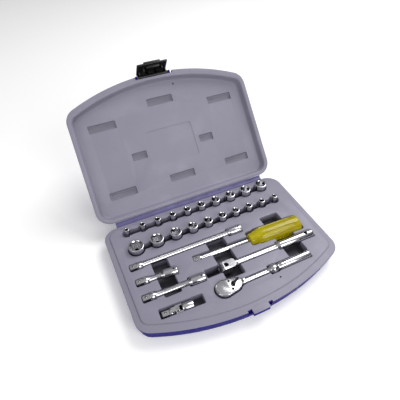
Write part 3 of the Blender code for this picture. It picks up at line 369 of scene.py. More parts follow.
def plate(points, low, high, corner=0.0, segments=4):
    # an upright slab over a flat outline, its corners rounded in plan
    bm = bmesh.new()
    face = bm.faces.new([bm.verts.new((x, y, low)) for x, y in points])
    if corner:
        bmesh.ops.bevel(
            bm, geom=face.verts[:], offset=corner,
            affect="VERTICES", segments=segments, profile=0.5, material=-1
        )
    grown = bmesh.ops.extrude_face_region(bm, geom=bm.faces[:])
    top = [item for item in grown["geom"] if isinstance(item, bmesh.types.BMVert)]
    bmesh.ops.translate(bm, verts=top, vec=(0, 0, high - low))
    return bm


def lying(x, y, z, turn):
    # a tool's own frame: +Z along the tool, -X up
    return Matrix.Translation((x, y, z)) @ Matrix.Rotation(turn, 4, "Z") @ Matrix.Rotation(
        math.pi / 2, 4, "Y"
    )


# the case

case = {
    "halfDepth": 0.0917,
    "halfBack": 0.13475,
    "halfFront": 0.13245,
    "bowRadius": 0.306462,
    "backCorner": 0.0190,
    "frontCorner": 0.0200,
    "rim": 0.0200,
    "deck": 0.0215,
    "pocketFloor": 0.0039,
    "skin": 0.0016,
    "tabHalf": 0.0105,
    "tabProud": 0.0035,
    "notchWidth": 0.0055,
    "notchDepth": 0.0030,
    "lidRim": 0.0203,
    "lidFloor": 0.0303,
    "lidTop": 0.0372,
}
frontY = -case["halfDepth"]
backY = case["halfDepth"]
hinge = Vector(joints["lid_hinge"]["pos_m"])
lidOpen = math.radians(-joints["lid_hinge"]["range_deg"][0])
lidTurn = Matrix.Translation(hinge) @ Matrix.Rotation(-lidOpen, 4, "X") @ Matrix.Translation(-hinge)


def sweepRound(bm, vert, centre, angle, steps):
    # carries the outline's last point round a centre, clockwise
    swept = bmesh.ops.spin(bm, geom=[vert], cent=centre, axis=(0, 0, 1), angle=-angle, steps=steps)
    return next(item for item in swept["geom_last"] if isinstance(item, bmesh.types.BMVert))


def traceOutline(bm, side, front, back, z):
    # the case in plan, set in by three amounts: one half swept round its corners, then mirrored
    before = set(bm.edges)
    bow = case["bowRadius"] - front
    bowCentre = Vector((0, frontY + case["bowRadius"], z))
    backRound = max(case["backCorner"] - max(side, back), 0.006)
    frontRound = max(case["frontCorner"] - max(side, front), 0.006)
    corner = Vector((case["halfBack"] - side, backY - back, z))
    foot = case["halfFront"] - side
    foot = bowCentre + Vector((foot, -math.sqrt(bow**2 - foot**2), 0))
    down = (foot - corner).normalized()
    inward = Vector((down.y, -down.x, 0))
    backCentre = corner + inward * backRound + down * ((-backRound - inward.y * backRound) / down.y)
    start = corner + inward * frontRound - bowCentre
    along = start.dot(down)
    travel = -along + math.sqrt(along**2 - start.length_squared + (bow - frontRound) ** 2)
    frontCentre = corner + inward * frontRound + down * travel
    first = bm.verts.new((0, corner.y, z))
    second = bm.verts.new((backCentre.x, corner.y, z))
    bm.edges.new((first, second))
    last = sweepRound(bm, second, backCentre, Vector((0, 1, 0)).angle(-inward), 10)
    third = bm.verts.new(frontCentre - inward * frontRound)
    bm.edges.new((last, third))
    outwards = (frontCentre - bowCentre).normalized()
    last = sweepRound(bm, third, frontCentre, (-inward).angle(outwards), 10)
    sweepRound(bm, last, bowCentre, outwards.angle(Vector((0, -1, 0))), 18)
    half = [edge for edge in bm.edges if edge not in before]
    verts = list({vert for edge in half for vert in edge.verts})
    bmesh.ops.mirror(bm, geom=half + verts, axis="X", merge_dist=0.00001)
    return [edge for edge in bm.edges if edge not in before]


def loftCase(rings):
    # a closed moulding through outlines given as (side, front, back, height)
    bm = bmesh.new()
    loops = [traceOutline(bm, *ring) for ring in rings]
    for low, high in zip(loops, loops[1:]):
        bmesh.ops.bridge_loops(bm, edges=low + high)
    for loop in (loops[0], loops[-1]):
        bmesh.ops.edgeloop_fill(bm, edges=loop)
    return bm


def even(inset, z):
    return (inset, inset, inset, z)


def shellRings(rim, floor, outer):
    up = 1 if outer < rim else -1
    return [
        even(0.0054, floor),
        even(0.0048, floor + 0.0014 * up),
        even(0.0019, rim - 0.0002 * up),
        even(0.0017, rim - 0.00006 * up),
        even(0.0003, rim),
        even(0.0, rim - 0.0004 * up),
        even(0.0005, rim - 0.0030 * up),
        even(0.0030, outer + 0.0038 * up),
        even(0.00325, outer + 0.0026 * up),
        even(0.0038, outer + 0.0014 * up),
        even(0.0045, outer + 0.0006 * up),
        even(0.0053, outer + 0.0001 * up),
        even(0.0062, outer),
    ]


def tabNotches(low, high):
    cuts = []
    for side in (-1, 1):
        near, far = sorted((side * case["tabHalf"], side * (case["tabHalf"] + case["notchWidth"])))
        cuts.append(block((near, frontY - 0.01, low), (far, frontY + case["notchDepth"], high)))
    return cuts


def buildBaseShell():
    top = case["rim"] - 0.0020
    shell = loftCase(shellRings(top, 0.0018, 0))
    tabLow = case["rim"] - 0.0062
    low = tabLow - 0.0018
    tab = block(
        (
            -case["tabHalf"], frontY - case["tabProud"], tabLow
        ), (case["tabHalf"], frontY + 0.0037, top - 0.0001), 0.0004
    )
    backWall = frontY + case["notchDepth"]
    extras = [tab]
    for side in (-1, 1):
        near, far = sorted((side * case["tabHalf"], side * (case["tabHalf"] + case["notchWidth"])))
        extras.append(
            block((near - 0.0012, backWall - 0.0005, low), (far + 0.0012, backWall + 0.0018, top - 0.0001))
        )
    shell = combine(shell, extras, "UNION")
    shell = combine(shell, tabNotches(low + 0.0006, top + 0.001))
    piece("baseShell", shell, "case_base", bluePlastic, ["base_shell"])


def sinkPocket(points, floor, corner, lip=0.0008, rounded=0.0008, foot=0.0010, steps=5):
    # the space of one pocket: a rolled lip, drafted walls and a softened foot
    deck = case["deck"]
    bm = bmesh.new()
    face = bm.faces.new([bm.verts.new((x, y, deck + 0.0010)) for x, y in grown(points, lip)])
    if corner:
        bmesh.ops.bevel(
            bm, geom=face.verts[:], offset=corner + lip,
            affect="VERTICES", segments=steps, profile=0.5, material=-1
        )
        face = next(iter(bm.faces))
        foot = min(foot, corner * 0.7)
    sinkFace(bm, face, deck - floor, lip, rounded, foot)
    return bm


def sinkFace(bm, face, depth, lip=0.0008, rounded=0.0008, foot=0.0010):
    face.normal_update()
    if face.normal.z < 0:
        face.normal_flip()
    bmesh.ops.duplicate(bm, geom=[face])
    drops = [
        (0.0, 0.0010),
        (lip * 0.45, rounded * 0.08),
        (lip * 0.35, rounded * 0.30),
        (lip * 0.20, rounded * 0.62),
        (0.0002, depth - rounded - foot),
        (foot * 0.20, foot * 0.62),
        (foot * 0.35, foot * 0.30),
        (foot * 0.45, foot * 0.08),
    ]
    for inset, drop in drops:
        bmesh.ops.inset_region(
            bm, faces=[face], thickness=inset, depth=-drop, use_even_offset=True, use_boundary=True
        )
    bmesh.ops.remove_doubles(bm, verts=bm.verts, dist=0.000001)


def grown(points, amount):
    # an outline moved outwards by an even amount
    made = []
    for before, here, after in zip(points[-1:] + points[:-1], points, points[1:] + points[:1]):
        first = Vector((here[1] - before[1], before[0] - here[0])).normalized()
        second = Vector((after[1] - here[1], here[0] - after[0])).normalized()
        away = (first + second) * (amount / (1 + first.dot(second)))
        made.append((here[0] + away.x, here[1] + away.y))
    return made


def oblong(place, turn, low, high, half):
    cos, sin = math.cos(turn), math.sin(turn)
    corners = ((low, -half), (high, -half), (high, half), (low, half))
    return [(place[0] + x * cos - y * sin, place[1] + x * sin + y * cos) for x, y in corners]


def circle(place, radius, steps=40):
    around = [2 * math.pi * k / steps for k in range(steps)]
    return [(place[0] + radius * math.cos(a), place[1] + radius * math.sin(a)) for a in around]


sockets = {
    "rows": {
        "metric": {
            "y": backY - 0.0167, "places": [-103.7, -82.1, -60.5, -38.9, -17.3, 4.3, 26.5, 50.0, 74.85, 100.9]
        },
        "inch": {
            "y": backY - 0.0478,
            "places": [-100.35, -72.55, -46.65, -22.6, -0.05, 21.35, 42.25, 63.15, 84.05, 104.95],
        },
    },
    "metric": {
        "4": (4.0, 6.9), "5": (5.0, 8.0), "5_5": (5.5, 8.8), "6": (6.0, 9.4), "7": (7.0, 10.8),
        "8": (8.0, 12.0), "9": (9.0, 13.2), "10": (10.0, 14.6), "11": (11.0, 15.9), "12": (12.0, 17.0),
    },
    "inch": {
        "9_16": (14.3, 19.8), "1_2": (12.7, 18.0), "7_16": (11.1, 16.0),
        "3_8": (9.5, 14.3), "11_32": (8.7, 13.0),
        "5_16": (7.9, 12.0), "9_32": (7.1, 11.0), "1_4": (6.4, 9.7), "7_32": (5.6, 8.8), "3_16": (4.8, 7.8),
    },
    "seat": 0.0042,
    "length": 0.0250,
    "driveEnd": 0.0115,
    "smallDrive": 0.0120,
    "largeDrive": 0.0138,
    "hexDepth": 0.0090,
    "squareDepth": 0.0085,
    "drive": 0.0065,
}
tools = {
    "long": {"place": (-0.11685, backY - 0.0727, 0.0200), "turn": math.radians(-0.3), "length": 0.1524},
    "short": {"place": (-0.11625, backY - 0.0957, 0.0200), "turn": math.radians(-2.7), "length": 0.0508},
    "medium": {"place": (-0.11585, backY - 0.1187, 0.0200), "turn": math.radians(-1.8), "length": 0.0762},
    "spinner": {"place": (-0.04135, backY - 0.0922, 0.0169), "turn": math.radians(-1.9), "length": 0.1524},
    "flex": {"place": (-0.01865, backY - 0.1194, 0.0199), "turn": math.radians(-0.6), "length": 0.1345},
    "ratchet": {"place": (-0.02665, backY - 0.1467, 0.0199), "turn": 0.0, "length": 0.1190},
    "joint": {"place": (-0.10225, backY - 0.1441, 0.0160), "turn": math.radians(-2.5), "length": 0.0370},
}
fit = 0.0005


def headOutline(inset, end=0.0270):
    # the ratchet's pear-shaped head in plan, from its round front to its neck
    big, small, shoulder = 0.0108 - inset, 0.0086 - inset, 0.0130
    start = math.pi / 2 - math.asin((0.0108 - 0.0086) / shoulder)
    tail = math.radians(35)
    points = []
    for k in range(25):
        angle = start + (2 * math.pi - 2 * start) * k / 24
        points.append((big * math.cos(angle), big * math.sin(angle)))
    lower = [
        (shoulder + small * math.cos(a), small * math.sin(a))
        for a in [-start + (start - tail) * k / 7 for k in range(8)]
    ]
    upper = [(x, -y) for x, y in reversed(lower)]
    neck = []
    if end:
        reach = lower[-1]
        for k in range(1, 7):
            share = k / 6
            ease = 1 - (1 - share) ** 2
            neck.append(
                (reach[0] + (end - reach[0]) * share, reach[1] + (-(0.0031 - inset) - reach[1]) * ease)
            )
        neck += [(x, -y) for x, y in reversed(neck)]
    return points + lower + neck + upper


def pocketPlan():
    # every pocket as (outline, floor, plan corner radius)
    plan = []
    floor = case["pocketFloor"]
    deck = case["deck"]
    for row in ("metric", "inch"):
        y = sockets["rows"][row]["y"]
        places = [x / 1000 for x in sockets["rows"][row]["places"]]
        for (_, nose), x in zip(sockets[row].values(), places):
            radius = max(nose / 1000, sockets["smallDrive"]) / 2 + 0.0009
            plan.append((circle((x, y), radius), floor, 0))
        plan.append((oblong((0, y), 0, places[0], places[-1], 0.0042), deck - 0.0110, 0))
    for name in ("long", "short", "medium"):
        tool = tools[name]
        x, y, z = tool["place"]
        length = tool["length"]
        for low, high, radius in (
            (-fit, 0.0160, 0.0049),
            (0.0130, length - 0.0170, 0.0036),
            (length - 0.0205, length + fit, 0.0060),
        ):
            plan.append((oblong((x, y), tool["turn"], low, high, radius + fit), z - radius - fit, 0.0016))
    x, y, z = tools["spinner"]["place"]
    turn = tools["spinner"]["turn"]
    deep = z - 0.0125 - fit
    plan.append((oblong((x, y), turn, -fit, 0.0779, 0.0046), z - 0.0052, 0.0016))
    plan.append((oblong((x, y), turn, 0.0769, 0.0899, 0.0118), deep, 0.0030))
    plan.append((oblong((x, y), turn, 0.0869, 0.1524 + 2 * fit, 0.0125 + fit), deep, 0.0030))
    x, y, z = tools["flex"]["place"]
    turn = tools["flex"]["turn"]
    plan.append((oblong((x, y), turn, 0.0048 - 0.0150 - 0.0085, 0.0048 + 0.0065, 0.0061), floor, 0.0016))
    plan.append((oblong((x, y), turn, -fit, 0.0210, 0.0061 + fit), z - 0.0048 - fit, 0.0016))
    plan.append((oblong((x, y), turn, 0.0200, 0.0825, 0.0037 + fit), z - 0.0037 - fit, 0.0010))
    plan.append((oblong((x, y), turn, 0.0805, 0.1345 + fit, 0.0060 + fit), z - 0.0060 - fit, 0.0016))
    x, y, z = tools["ratchet"]["place"]
    low = z - 0.0055 - fit
    plan.append((circle((x, y), 0.0062), floor, 0))
    plan.append(([(x + u, y + v) for u, v in headOutline(-0.0009, 0.0279)], low, 0))
    for start, end, radius in (
        (0.0270, 0.0660, 0.0033), (0.0600, 0.0720, 0.0060), (0.0710, 0.1190 + fit, 0.0052)
    ):
        plan.append((oblong((x, y), 0, start, end, radius + fit), z - radius - fit, 0.0010))
    x, y, z = tools["joint"]["place"]
    plan.append((oblong((x, y), tools["joint"]["turn"], -0.0026, 0.0500, 0.0059 + fit), z - 0.0064, 0.0016))
    troughs = (
        (-0.09185, -0.07085, backY - 0.1277, backY - 0.0763),
        (-0.01765, 0.00735, backY - 0.1369, backY - 0.0763),
        (0.06685, 0.09385, backY - 0.1415, backY - 0.0699),
    )
    for x0, x1, y0, y1 in troughs:
        plan.append(([(x0, y0), (x1, y0), (x1, y1), (x0, y1)], deck - 0.0135, 0.0022))
    return plan


# depth below the deck, used as the mask for shade painted into the tray's pockets
def trayDepth(z):
    return (case["deck"] - 0.0024 - z) / 0.0060


# depth into the lid's pads and slots, used as the mask for shade painted into them
def panelDepth(z):
    return (z - case["lidFloor"] - 0.0003) / 0.0085


def buildTray():
    deck, rim = case["deck"], case["rim"]
    tray = loftCase(
        [
            (0.0085, 0.0105, 0.0067, deck),
            (0.0078, 0.0098, 0.0060, deck - 0.00008),
            (0.0073, 0.0093, 0.0055, deck - 0.00035),
            (0.0070, 0.0090, 0.0052, deck - 0.0008),
            (0.0069, 0.0089, 0.0051, rim + 0.0003),
            (0.0065, 0.0085, 0.0047, rim + 0.00005),
            (0.0061, 0.0081, 0.0043, rim - 0.00006),
            even(0.0010, rim),
            even(0.0004, rim - 0.00015),
            even(0.0001, rim - 0.00045),
            even(0.0, rim - 0.0009),
            even(0.0003, rim - 0.0016),
            even(0.0008, rim - 0.0017),
            (0.0062, 0.0082, 0.0044, rim - 0.00164),
            (0.0086, 0.0106, 0.0068, deck - case["skin"]),
        ]
    )
    plan = pocketPlan()
    walls = [
        plate(grown(points, 0.0023), floor - case["skin"], rim + 0.0002) for points, floor, _ in plan
    ]
    tray = combine(tray, walls, "UNION")
    tray = combine(tray, [sinkPocket(*pocket) for pocket in plan])
    tab = block(
        (
            -case["tabHalf"], frontY - case["tabProud"], rim - 0.0017
        ), (case["tabHalf"], frontY + 0.004, rim - 0.00002), 0.0004
    )
    tray = combine(tray, [tab], "UNION")
    vent = cylinder(0.0012, deck - 0.004, deck + 0.002, at=(0.0405, frontY + 0.0230, 0), steps=20)
    tray = combine(tray, [vent, *tabNotches(rim - 0.01, deck + 0.01)])
    piece("baseTray", tray, "case_base", greyPlastic, ["base_tray"], None, 36, trayDepth)


def buildWeb():
    # the living hinge: a thin strip with a rolled middle, shaped as it lies with the lid open
    half = case["halfBack"] - case["backCorner"] - 0.0020
    reach = 0.0037
    end = hinge + Matrix.Rotation(-lidOpen, 3, "X") @ Vector((0, -reach, 0.0004))
    path = [
        (backY + 0.0003, case["rim"] - 0.0010),
        (backY + 0.0016, case["rim"] - 0.0011),
        (hinge.y - 0.0010, case["rim"] - 0.0012),
        (hinge.y, case["rim"] - 0.0010),
        (hinge.y + 0.0008, case["rim"] - 0.0004),
        (hinge.y + 0.0015, case["rim"] + 0.0006),
        (end.y, end.z),
    ]
    bm = bmesh.new()
    verts = [bm.verts.new((-half, y, z)) for y, z in path]
    edges = [bm.edges.new(pair) for pair in zip(verts, verts[1:])]
    columns = 24  # columns across the strip's width
    for _ in range(columns):
        swept = bmesh.ops.extrude_edge_only(bm, edges=edges)
        verts = [item for item in swept["geom"] if isinstance(item, bmesh.types.BMVert)]
        edges = [item for item in swept["geom"] if isinstance(item, bmesh.types.BMEdge)]
        edges = [edge for edge in edges if all(vert in verts for vert in edge.verts)]
        bmesh.ops.translate(bm, verts=verts, vec=(2 * half / columns, 0, 0))
    bmesh.ops.recalc_face_normals(bm, faces=bm.faces)
    bmesh.ops.solidify(bm, geom=bm.faces[:], thickness=0.0006)
    outward(bm)
    web = asObject(bm, "hingeWeb")
    web.data.shade_smooth()
    web.data.set_sharp_from_angle(angle=math.radians(50))
    web.data.materials.append(webPlastic)
    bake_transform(web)
    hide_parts("hinge_web")


latch = {
    "y": frontY + 0.0014,
    "z": 0.0273,
    "half": 0.0220,
    "barrel": 0.0028,
    "pin": 0.0010,
    "ajar": math.radians(15),
}
recess = {"half": 0.0275, "depth": 0.0050}


def recessCut(low, high):
    cut = block((-recess["half"], frontY - 0.02, low), (recess["half"], frontY + recess["depth"], high))
    upright = [edge for edge in cut.edges if abs((edge.verts[0].co - edge.verts[1].co).z) > 0.0001]
    upright = [edge for edge in upright if edge.verts[0].co.y > frontY]
    roundEdges(cut, upright, 0.0012, 4)
    return cut


def buildLidShell():
    rim = case["lidRim"] + 0.0020
    top = case["lidTop"]
    shell = loftCase(shellRings(rim, top - 0.0018, top))
    back = frontY + recess["depth"]
    wall = block((-0.0290, back - 0.0005, rim + 0.0001), (0.0290, back + 0.0011, top - 0.0008))
    shell = combine(shell, [wall], "UNION")
    shell = combine(shell, [recessCut(rim - 0.001, top + 0.002)])
    lugs = []
    for side in (-1, 1):
        near, far = sorted((side * (latch["half"] + 0.0007), side * (latch["half"] + 0.0037)))
        low, high = (
            near, latch["y"] - 0.0022, latch["z"] - 0.0024
        ), (far, back + 0.0006, latch["z"] + 0.0024)
        lugs.append(block(low, high, 0.0005))
    shell = combine(shell, lugs, "UNION")
    bore = cylinder(latch["pin"] + 0.0003, -0.0265, 0.0265, "X", (0, latch["y"], latch["z"]), 24)
    shell = combine(shell, [bore])
    piece("lidShell", shell, "lid", bluePlastic, ["lid_shell"], lidTurn)
    pin = cylinder(latch["pin"], -0.0260, 0.0260, "X", (0, latch["y"], latch["z"]), 24)
    roundEdges(
        pin, [edge for edge in pin.edges if abs(edge.verts[0].co.x - edge.verts[1].co.x) < 0.0001], 0.0002
    )
    piece("latchPin", pin, "lid", groundSteel, ["latch_pin"], lidTurn)


padHalf = {"long": 0.0192, "short": 0.0107}
padRows = [
    (0.0, frontY + 0.0368, "long"),
    (case["halfFront"] - 0.0430, frontY + 0.0541, "long"),
    (case["halfFront"] - 0.0806, backY - 0.0783, "short"),
    (case["halfFront"] - 0.0430, backY - 0.0344, "long"),
    (0.0, backY - 0.0344, "long"),
]
pads = [(side * x, y, padHalf[kind]) for x, y, kind in padRows for side in ((-1, 1) if x else (1,))]


def pressPad(x, y, half):
    # a pressed-in pad: a sloped surround with a narrower slot in its floor
    floor = case["lidFloor"]
    bm = bmesh.new()
    bmesh.ops.create_grid(
        bm, x_segments=1, y_segments=1, size=1, matrix=Matrix.Diagonal((half + 0.0004, 0.0057, 1, 1))
    )
    bmesh.ops.translate(bm, verts=bm.verts, vec=(x, y, floor - 0.0010))
    bmesh.ops.bevel(
        bm, geom=bm.verts[:], offset=0.0020, affect="VERTICES", segments=4, profile=0.5, material=-1
    )
    face = next(iter(bm.faces))
    face.normal_update()
    if face.normal.z > 0:
        face.normal_flip()
    bmesh.ops.duplicate(bm, geom=[face])
    for inset, drop in (
        (0.0, 0.0010),
        (0.0002, 0.00005),
        (0.0002, 0.0002),
        (0.0003, 0.0020),
        (0.0003, 0.0003),
        (0.0004, 0.0001),
    ):
        bmesh.ops.inset_region(
            bm, faces=[face], thickness=inset, depth=-drop, use_even_offset=True, use_boundary=True
        )
    bmesh.ops.remove_doubles(bm, verts=bm.verts, dist=0.000001)
    return bm


def padSlot(x, y, half):
    low = case["lidFloor"] + 0.0020
    return block((x - half + 0.0030, y - 0.0026, low), (x + half - 0.0018, y + 0.0026, low + 0.0013), 0.0003)


def buildLidPanel():
    rim, floor = case["lidRim"], case["lidFloor"]
    panel = loftCase(
        [
            (0.0108, 0.0131, 0.0094, floor),
            (0.0100, 0.0123, 0.0086, floor - 0.00010),
            (0.0090, 0.0113, 0.0076, floor - 0.0007),
            (0.0083, 0.0106, 0.0069, floor - 0.0018),
            (0.0068, 0.0091, 0.0054, rim + 0.0018),
            (0.0062, 0.0085, 0.0048, rim + 0.0008),
            (0.0055, 0.0078, 0.0041, rim + 0.0002),
            (0.0046, 0.0069, 0.0032, rim + 0.00006),
            even(0.0010, rim),
            even(0.0004, rim + 0.00015),
            even(0.0001, rim + 0.00045),
            even(0.0, rim + 0.0009),
            even(0.0003, rim + 0.0016),
            even(0.0008, rim + 0.0017),
            (0.0034, 0.0057, 0.0026, rim + 0.00164),
            (0.0069, 0.0092, 0.0055, floor - 0.0002),
            (0.0078, 0.0101, 0.0064, floor + 0.0012),
            (0.0090, 0.0113, 0.0076, floor + 0.0016),
        ]
    )
    walls = [
        block((x - half - 0.002, y - 0.0073, floor + 0.0008), (x + half + 0.002, y + 0.0073, floor + 0.0046))
        for x, y, half in pads
    ]
    panel = combine(panel, walls, "UNION")
    labelY = backY - 0.0823
    label = plate(
        [
            (-0.0345, labelY - 0.0255),
            (0.0345, labelY - 0.0255),
            (0.0345, labelY + 0.0255),
            (-0.0345, labelY + 0.0255),
        ],
        floor - 0.001,
        floor + 0.00050,
        0.0040,
        6,
    )
    vent = cylinder(0.0012, floor - 0.001, floor + 0.004, at=(0.0262, frontY + 0.0184, 0), steps=20)
    cuts = [pressPad(*pad) for pad in pads] + [padSlot(*pad) for pad in pads]
    panel = combine(panel, [*cuts, label, vent, recessCut(rim - 0.001, rim + 0.004)])
    piece("lidPanel", panel, "lid", greyPlastic, ["lid_panel"], lidTurn, 36, panelDepth)


def buildLatch():
    # the over-centre clip, drawn about its pin and stood a little open
    inner = frontY - case["tabProud"] - 0.0010 - latch["y"]
    outer = inner - 0.0022
    tabLow = case["rim"] - 0.0062 - latch["z"]
    foot = tabLow - 0.0060
    half, barrel = latch["half"], latch["barrel"]
    clip = cylinder(barrel, -half, half, "X", steps=40)
    shapes = [
        block((-half + 0.0001, outer, foot), (half - 0.0001, inner, barrel - 0.0002), 0.0006, 3),
        block((-half + 0.0001, inner - 0.001, 0.0001), (half - 0.0001, 0, barrel - 0.0001)),
        block((-0.0095, inner - 0.001, tabLow - 0.0028), (0.0095, inner + 0.0037, tabLow - 0.0005), 0.0004),
        block((-0.012, outer - 0.002, foot - 0.0002), (0.012, outer + 0.001, foot + 0.002), 0.0006, 3),
    ]
    for side in (-1, 1):
        near, far = sorted((side * (case["tabHalf"] + 0.0018), side * (case["tabHalf"] + 0.0038)))
        shapes.append(block((near, inner - 0.001, tabLow - 0.0002), (far, 0.0002, tabLow + 0.0052), 0.0003))
    for x in (-0.0185, -0.0062, 0.0062, 0.0185):
        shapes.append(
            block((x - 0.0006, inner - 0.001, tabLow + 0.0060), (x + 0.0006, -0.0008, -0.0008), 0.0002)
        )
    clip = combine(clip, shapes, "UNION")
    bore = cylinder(latch["pin"] + 0.0003, -0.03, 0.03, "X", steps=24)
    grooves = [
        block(
            (-0.016, outer - 0.001, foot + 0.0048 + 0.0016 * k),
            (0.016, outer + 0.00035, foot + 0.0055 + 0.0016 * k),
        )
        for k in range(4)
    ]
    clip = combine(clip, [bore, *grooves])
    turned = lidTurn @ Matrix.Translation(
        (0, latch["y"], latch["z"])
    ) @ Matrix.Rotation(-latch["ajar"], 4, "X")
    piece("latchClip", clip, "latch", blackPlastic, ["latch"], turned)


buildBaseShell()
buildTray()
buildWeb()
buildLidShell()
buildLidPanel()
buildLatch()
print("case built")


# sockets


def hexagon(across):
    reach = across / math.sqrt(3)
    return [(reach * math.cos(math.pi * k / 3), reach * math.sin(math.pi * k / 3)) for k in range(6)]


def buildSocket(row, label, across, nose, x, y):
    across, noseRadius = across / 1000, nose / 2000
    length, low = sockets["length"], sockets["driveEnd"]
    small = noseRadius * 2 < sockets["smallDrive"]
    endRadius = (sockets["smallDrive"] if small else min(2 * noseRadius, sockets["largeDrive"])) / 2
    groove = 0.00035
    profile = [
        (0, length),
        (noseRadius - 0.0009, length),
        (noseRadius - 0.0005, length - 0.00006),
        (noseRadius - 0.0002, length - 0.0002),
        (noseRadius - 0.00005, length - 0.0005),
        (noseRadius, length - 0.0009),
        (noseRadius, low + 0.0024),
        (noseRadius + (endRadius - noseRadius) * 0.08, low + 0.0018),
        (noseRadius + (endRadius - noseRadius) * 0.85, low + 0.0004),
        (endRadius, low - 0.0002),
        (endRadius, 0.0068),
        (endRadius - groove, 0.0064),
        (endRadius - groove, 0.0054),
        (endRadius, 0.0050),
        (endRadius, 0.0008),
        (endRadius - 0.0003, 0.0002),
        (endRadius - 0.0008, 0),
        (0, 0),
    ]
    body = lathe(profile, 56)
    drive = sockets["drive"] / 2
    mouth = across / math.sqrt(3) + 0.0002
    through = min(across / 2 - 0.0004, 0.0027)
    depth = sockets["hexDepth"]
    cuts = [
        plate(hexagon(across), length - depth, length + 0.001),
        cylinder(mouth - 0.0013, length - 0.0013, length + 0.0003, steps=48, tip=mouth + 0.0003),
        cylinder(through, sockets["squareDepth"] - 0.0010, length - depth + 0.0010, steps=32),
        block((-drive, -drive, -0.001), (drive, drive, sockets["squareDepth"])),
        cylinder(drive * 1.30, -0.0003, 0.0008, steps=40, tip=drive * 1.02),
    ]
    body = combine(body, cuts)
    node = f"socket_{row}_{label}"
    name = f"{row}Socket{label.replace('_', 'of') if row == 'inch' else label.replace('_', 'p')}"
    piece(name, body, node, chrome, [node], Matrix.Translation((x, y, sockets["seat"])), 30)


for rowName in ("metric", "inch"):
    row = sockets["rows"][rowName]
    for (label, (across, nose)), x in zip(sockets[rowName].items(), row["places"]):
        buildSocket(rowName, label, across, nose, x / 1000, row["y"])
print("sockets built")


# tools

drive = {
    "half": 0.00315, "length": 0.0083, "hole": 0.00325, "holeDepth": 0.0090, "ball": 0.0014, "proud": 0.0005
}


def squareDrive(tip, up=True):
    # the male square, its corners and tip eased
    half, length = drive["half"], drive["length"]
    low, high = (tip, tip + length + 0.0006) if up else (tip - length - 0.0006, tip)
    bm = block((-half, -half, low), (half, half, high))
    free = low if up else high
    ends = [edge for edge in bm.edges if all(abs(vert.co.z - free) < 0.0001 for vert in edge.verts)]
    roundEdges(bm, ends, 0.0007, 3)
    corners = [edge for edge in bm.edges if abs((edge.verts[0].co - edge.verts[1].co).z) > 0.004]
    roundEdges(bm, corners, 0.0004, 3)
    return bm


def ballPlace(tip, up=True):
    return -(drive["half"] + drive["proud"] - drive["ball"]), tip + (0.0042 if up else -0.0042)


def ballHole(tip, up=True):
    centre, middle = ballPlace(tip, up)
    return cylinder(
        drive["ball"] + 0.0003,
        -drive["half"] - 0.001,
        centre + drive["ball"] + 0.0003,
        "X",
        (0, 0, middle),
        24,
    )


def buildBall(name, tip, body, nodes, matrix, up=True):
    centre, middle = ballPlace(tip, up)
    bm = bmesh.new()
    bmesh.ops.create_uvsphere(bm, u_segments=24, v_segments=16, radius=drive["ball"])
    bmesh.ops.translate(bm, verts=bm.verts, vec=(centre, 0, middle))
    piece(name, bm, body, groundSteel, nodes, matrix)


def squareHole(end, depth=None):
    half = drive["hole"]
    depth = depth or drive["holeDepth"]
    return [
        block((-half, -half, end - depth), (half, half, end + 0.001)),
        cylinder(half * 1.05, end - 0.0008, end + 0.0003, steps=40, tip=half * 1.34),
    ]


def toolMatrix(name):
    return lying(*tools[name]["place"], tools[name]["turn"])


def buildBar(name, node):
    length = tools[name]["length"]
    matrix = toolMatrix(name)
    mouth = length - 0.0170
    socket, shaft, collar = 0.0060, 0.0036, 0.0049
    profile = [
        (0, length),
        (socket - 0.0009, length),
        (socket - 0.0004, length - 0.0001),
        (socket - 0.0001, length - 0.0004),
        (socket, length - 0.0009),
        (socket, mouth + 0.0006),
        (socket - 0.0002, mouth),
        (socket - 0.0008, mouth - 0.0009),
        (shaft + 0.0005, mouth - 0.0026),
        (shaft + 0.0001, mouth - 0.0034),
        (shaft, mouth - 0.0042),
        (shaft, 0.0165),
        (shaft + 0.0002, 0.0158),
        (collar - 0.0003, 0.0136),
        (collar, 0.0128),
        (collar, 0.0092),
        (collar - 0.0002, 0.0086),
        (collar - 0.0007, drive["length"]),
        (0, drive["length"]),
    ]
    body = combine(lathe(profile, 48), [squareDrive(0)], "UNION")
    dimple = cylinder(0.0012, -0.01, 0.01, "X", (0, 0, length - 0.0042), 20)
    body = combine(body, [ballHole(0), *squareHole(length), dimple])
    piece(f"{name}Bar", body, node, chrome, [node], matrix, 30)
    buildBall(f"{name}BarBall", 0, node, [node + "_ball"], matrix)


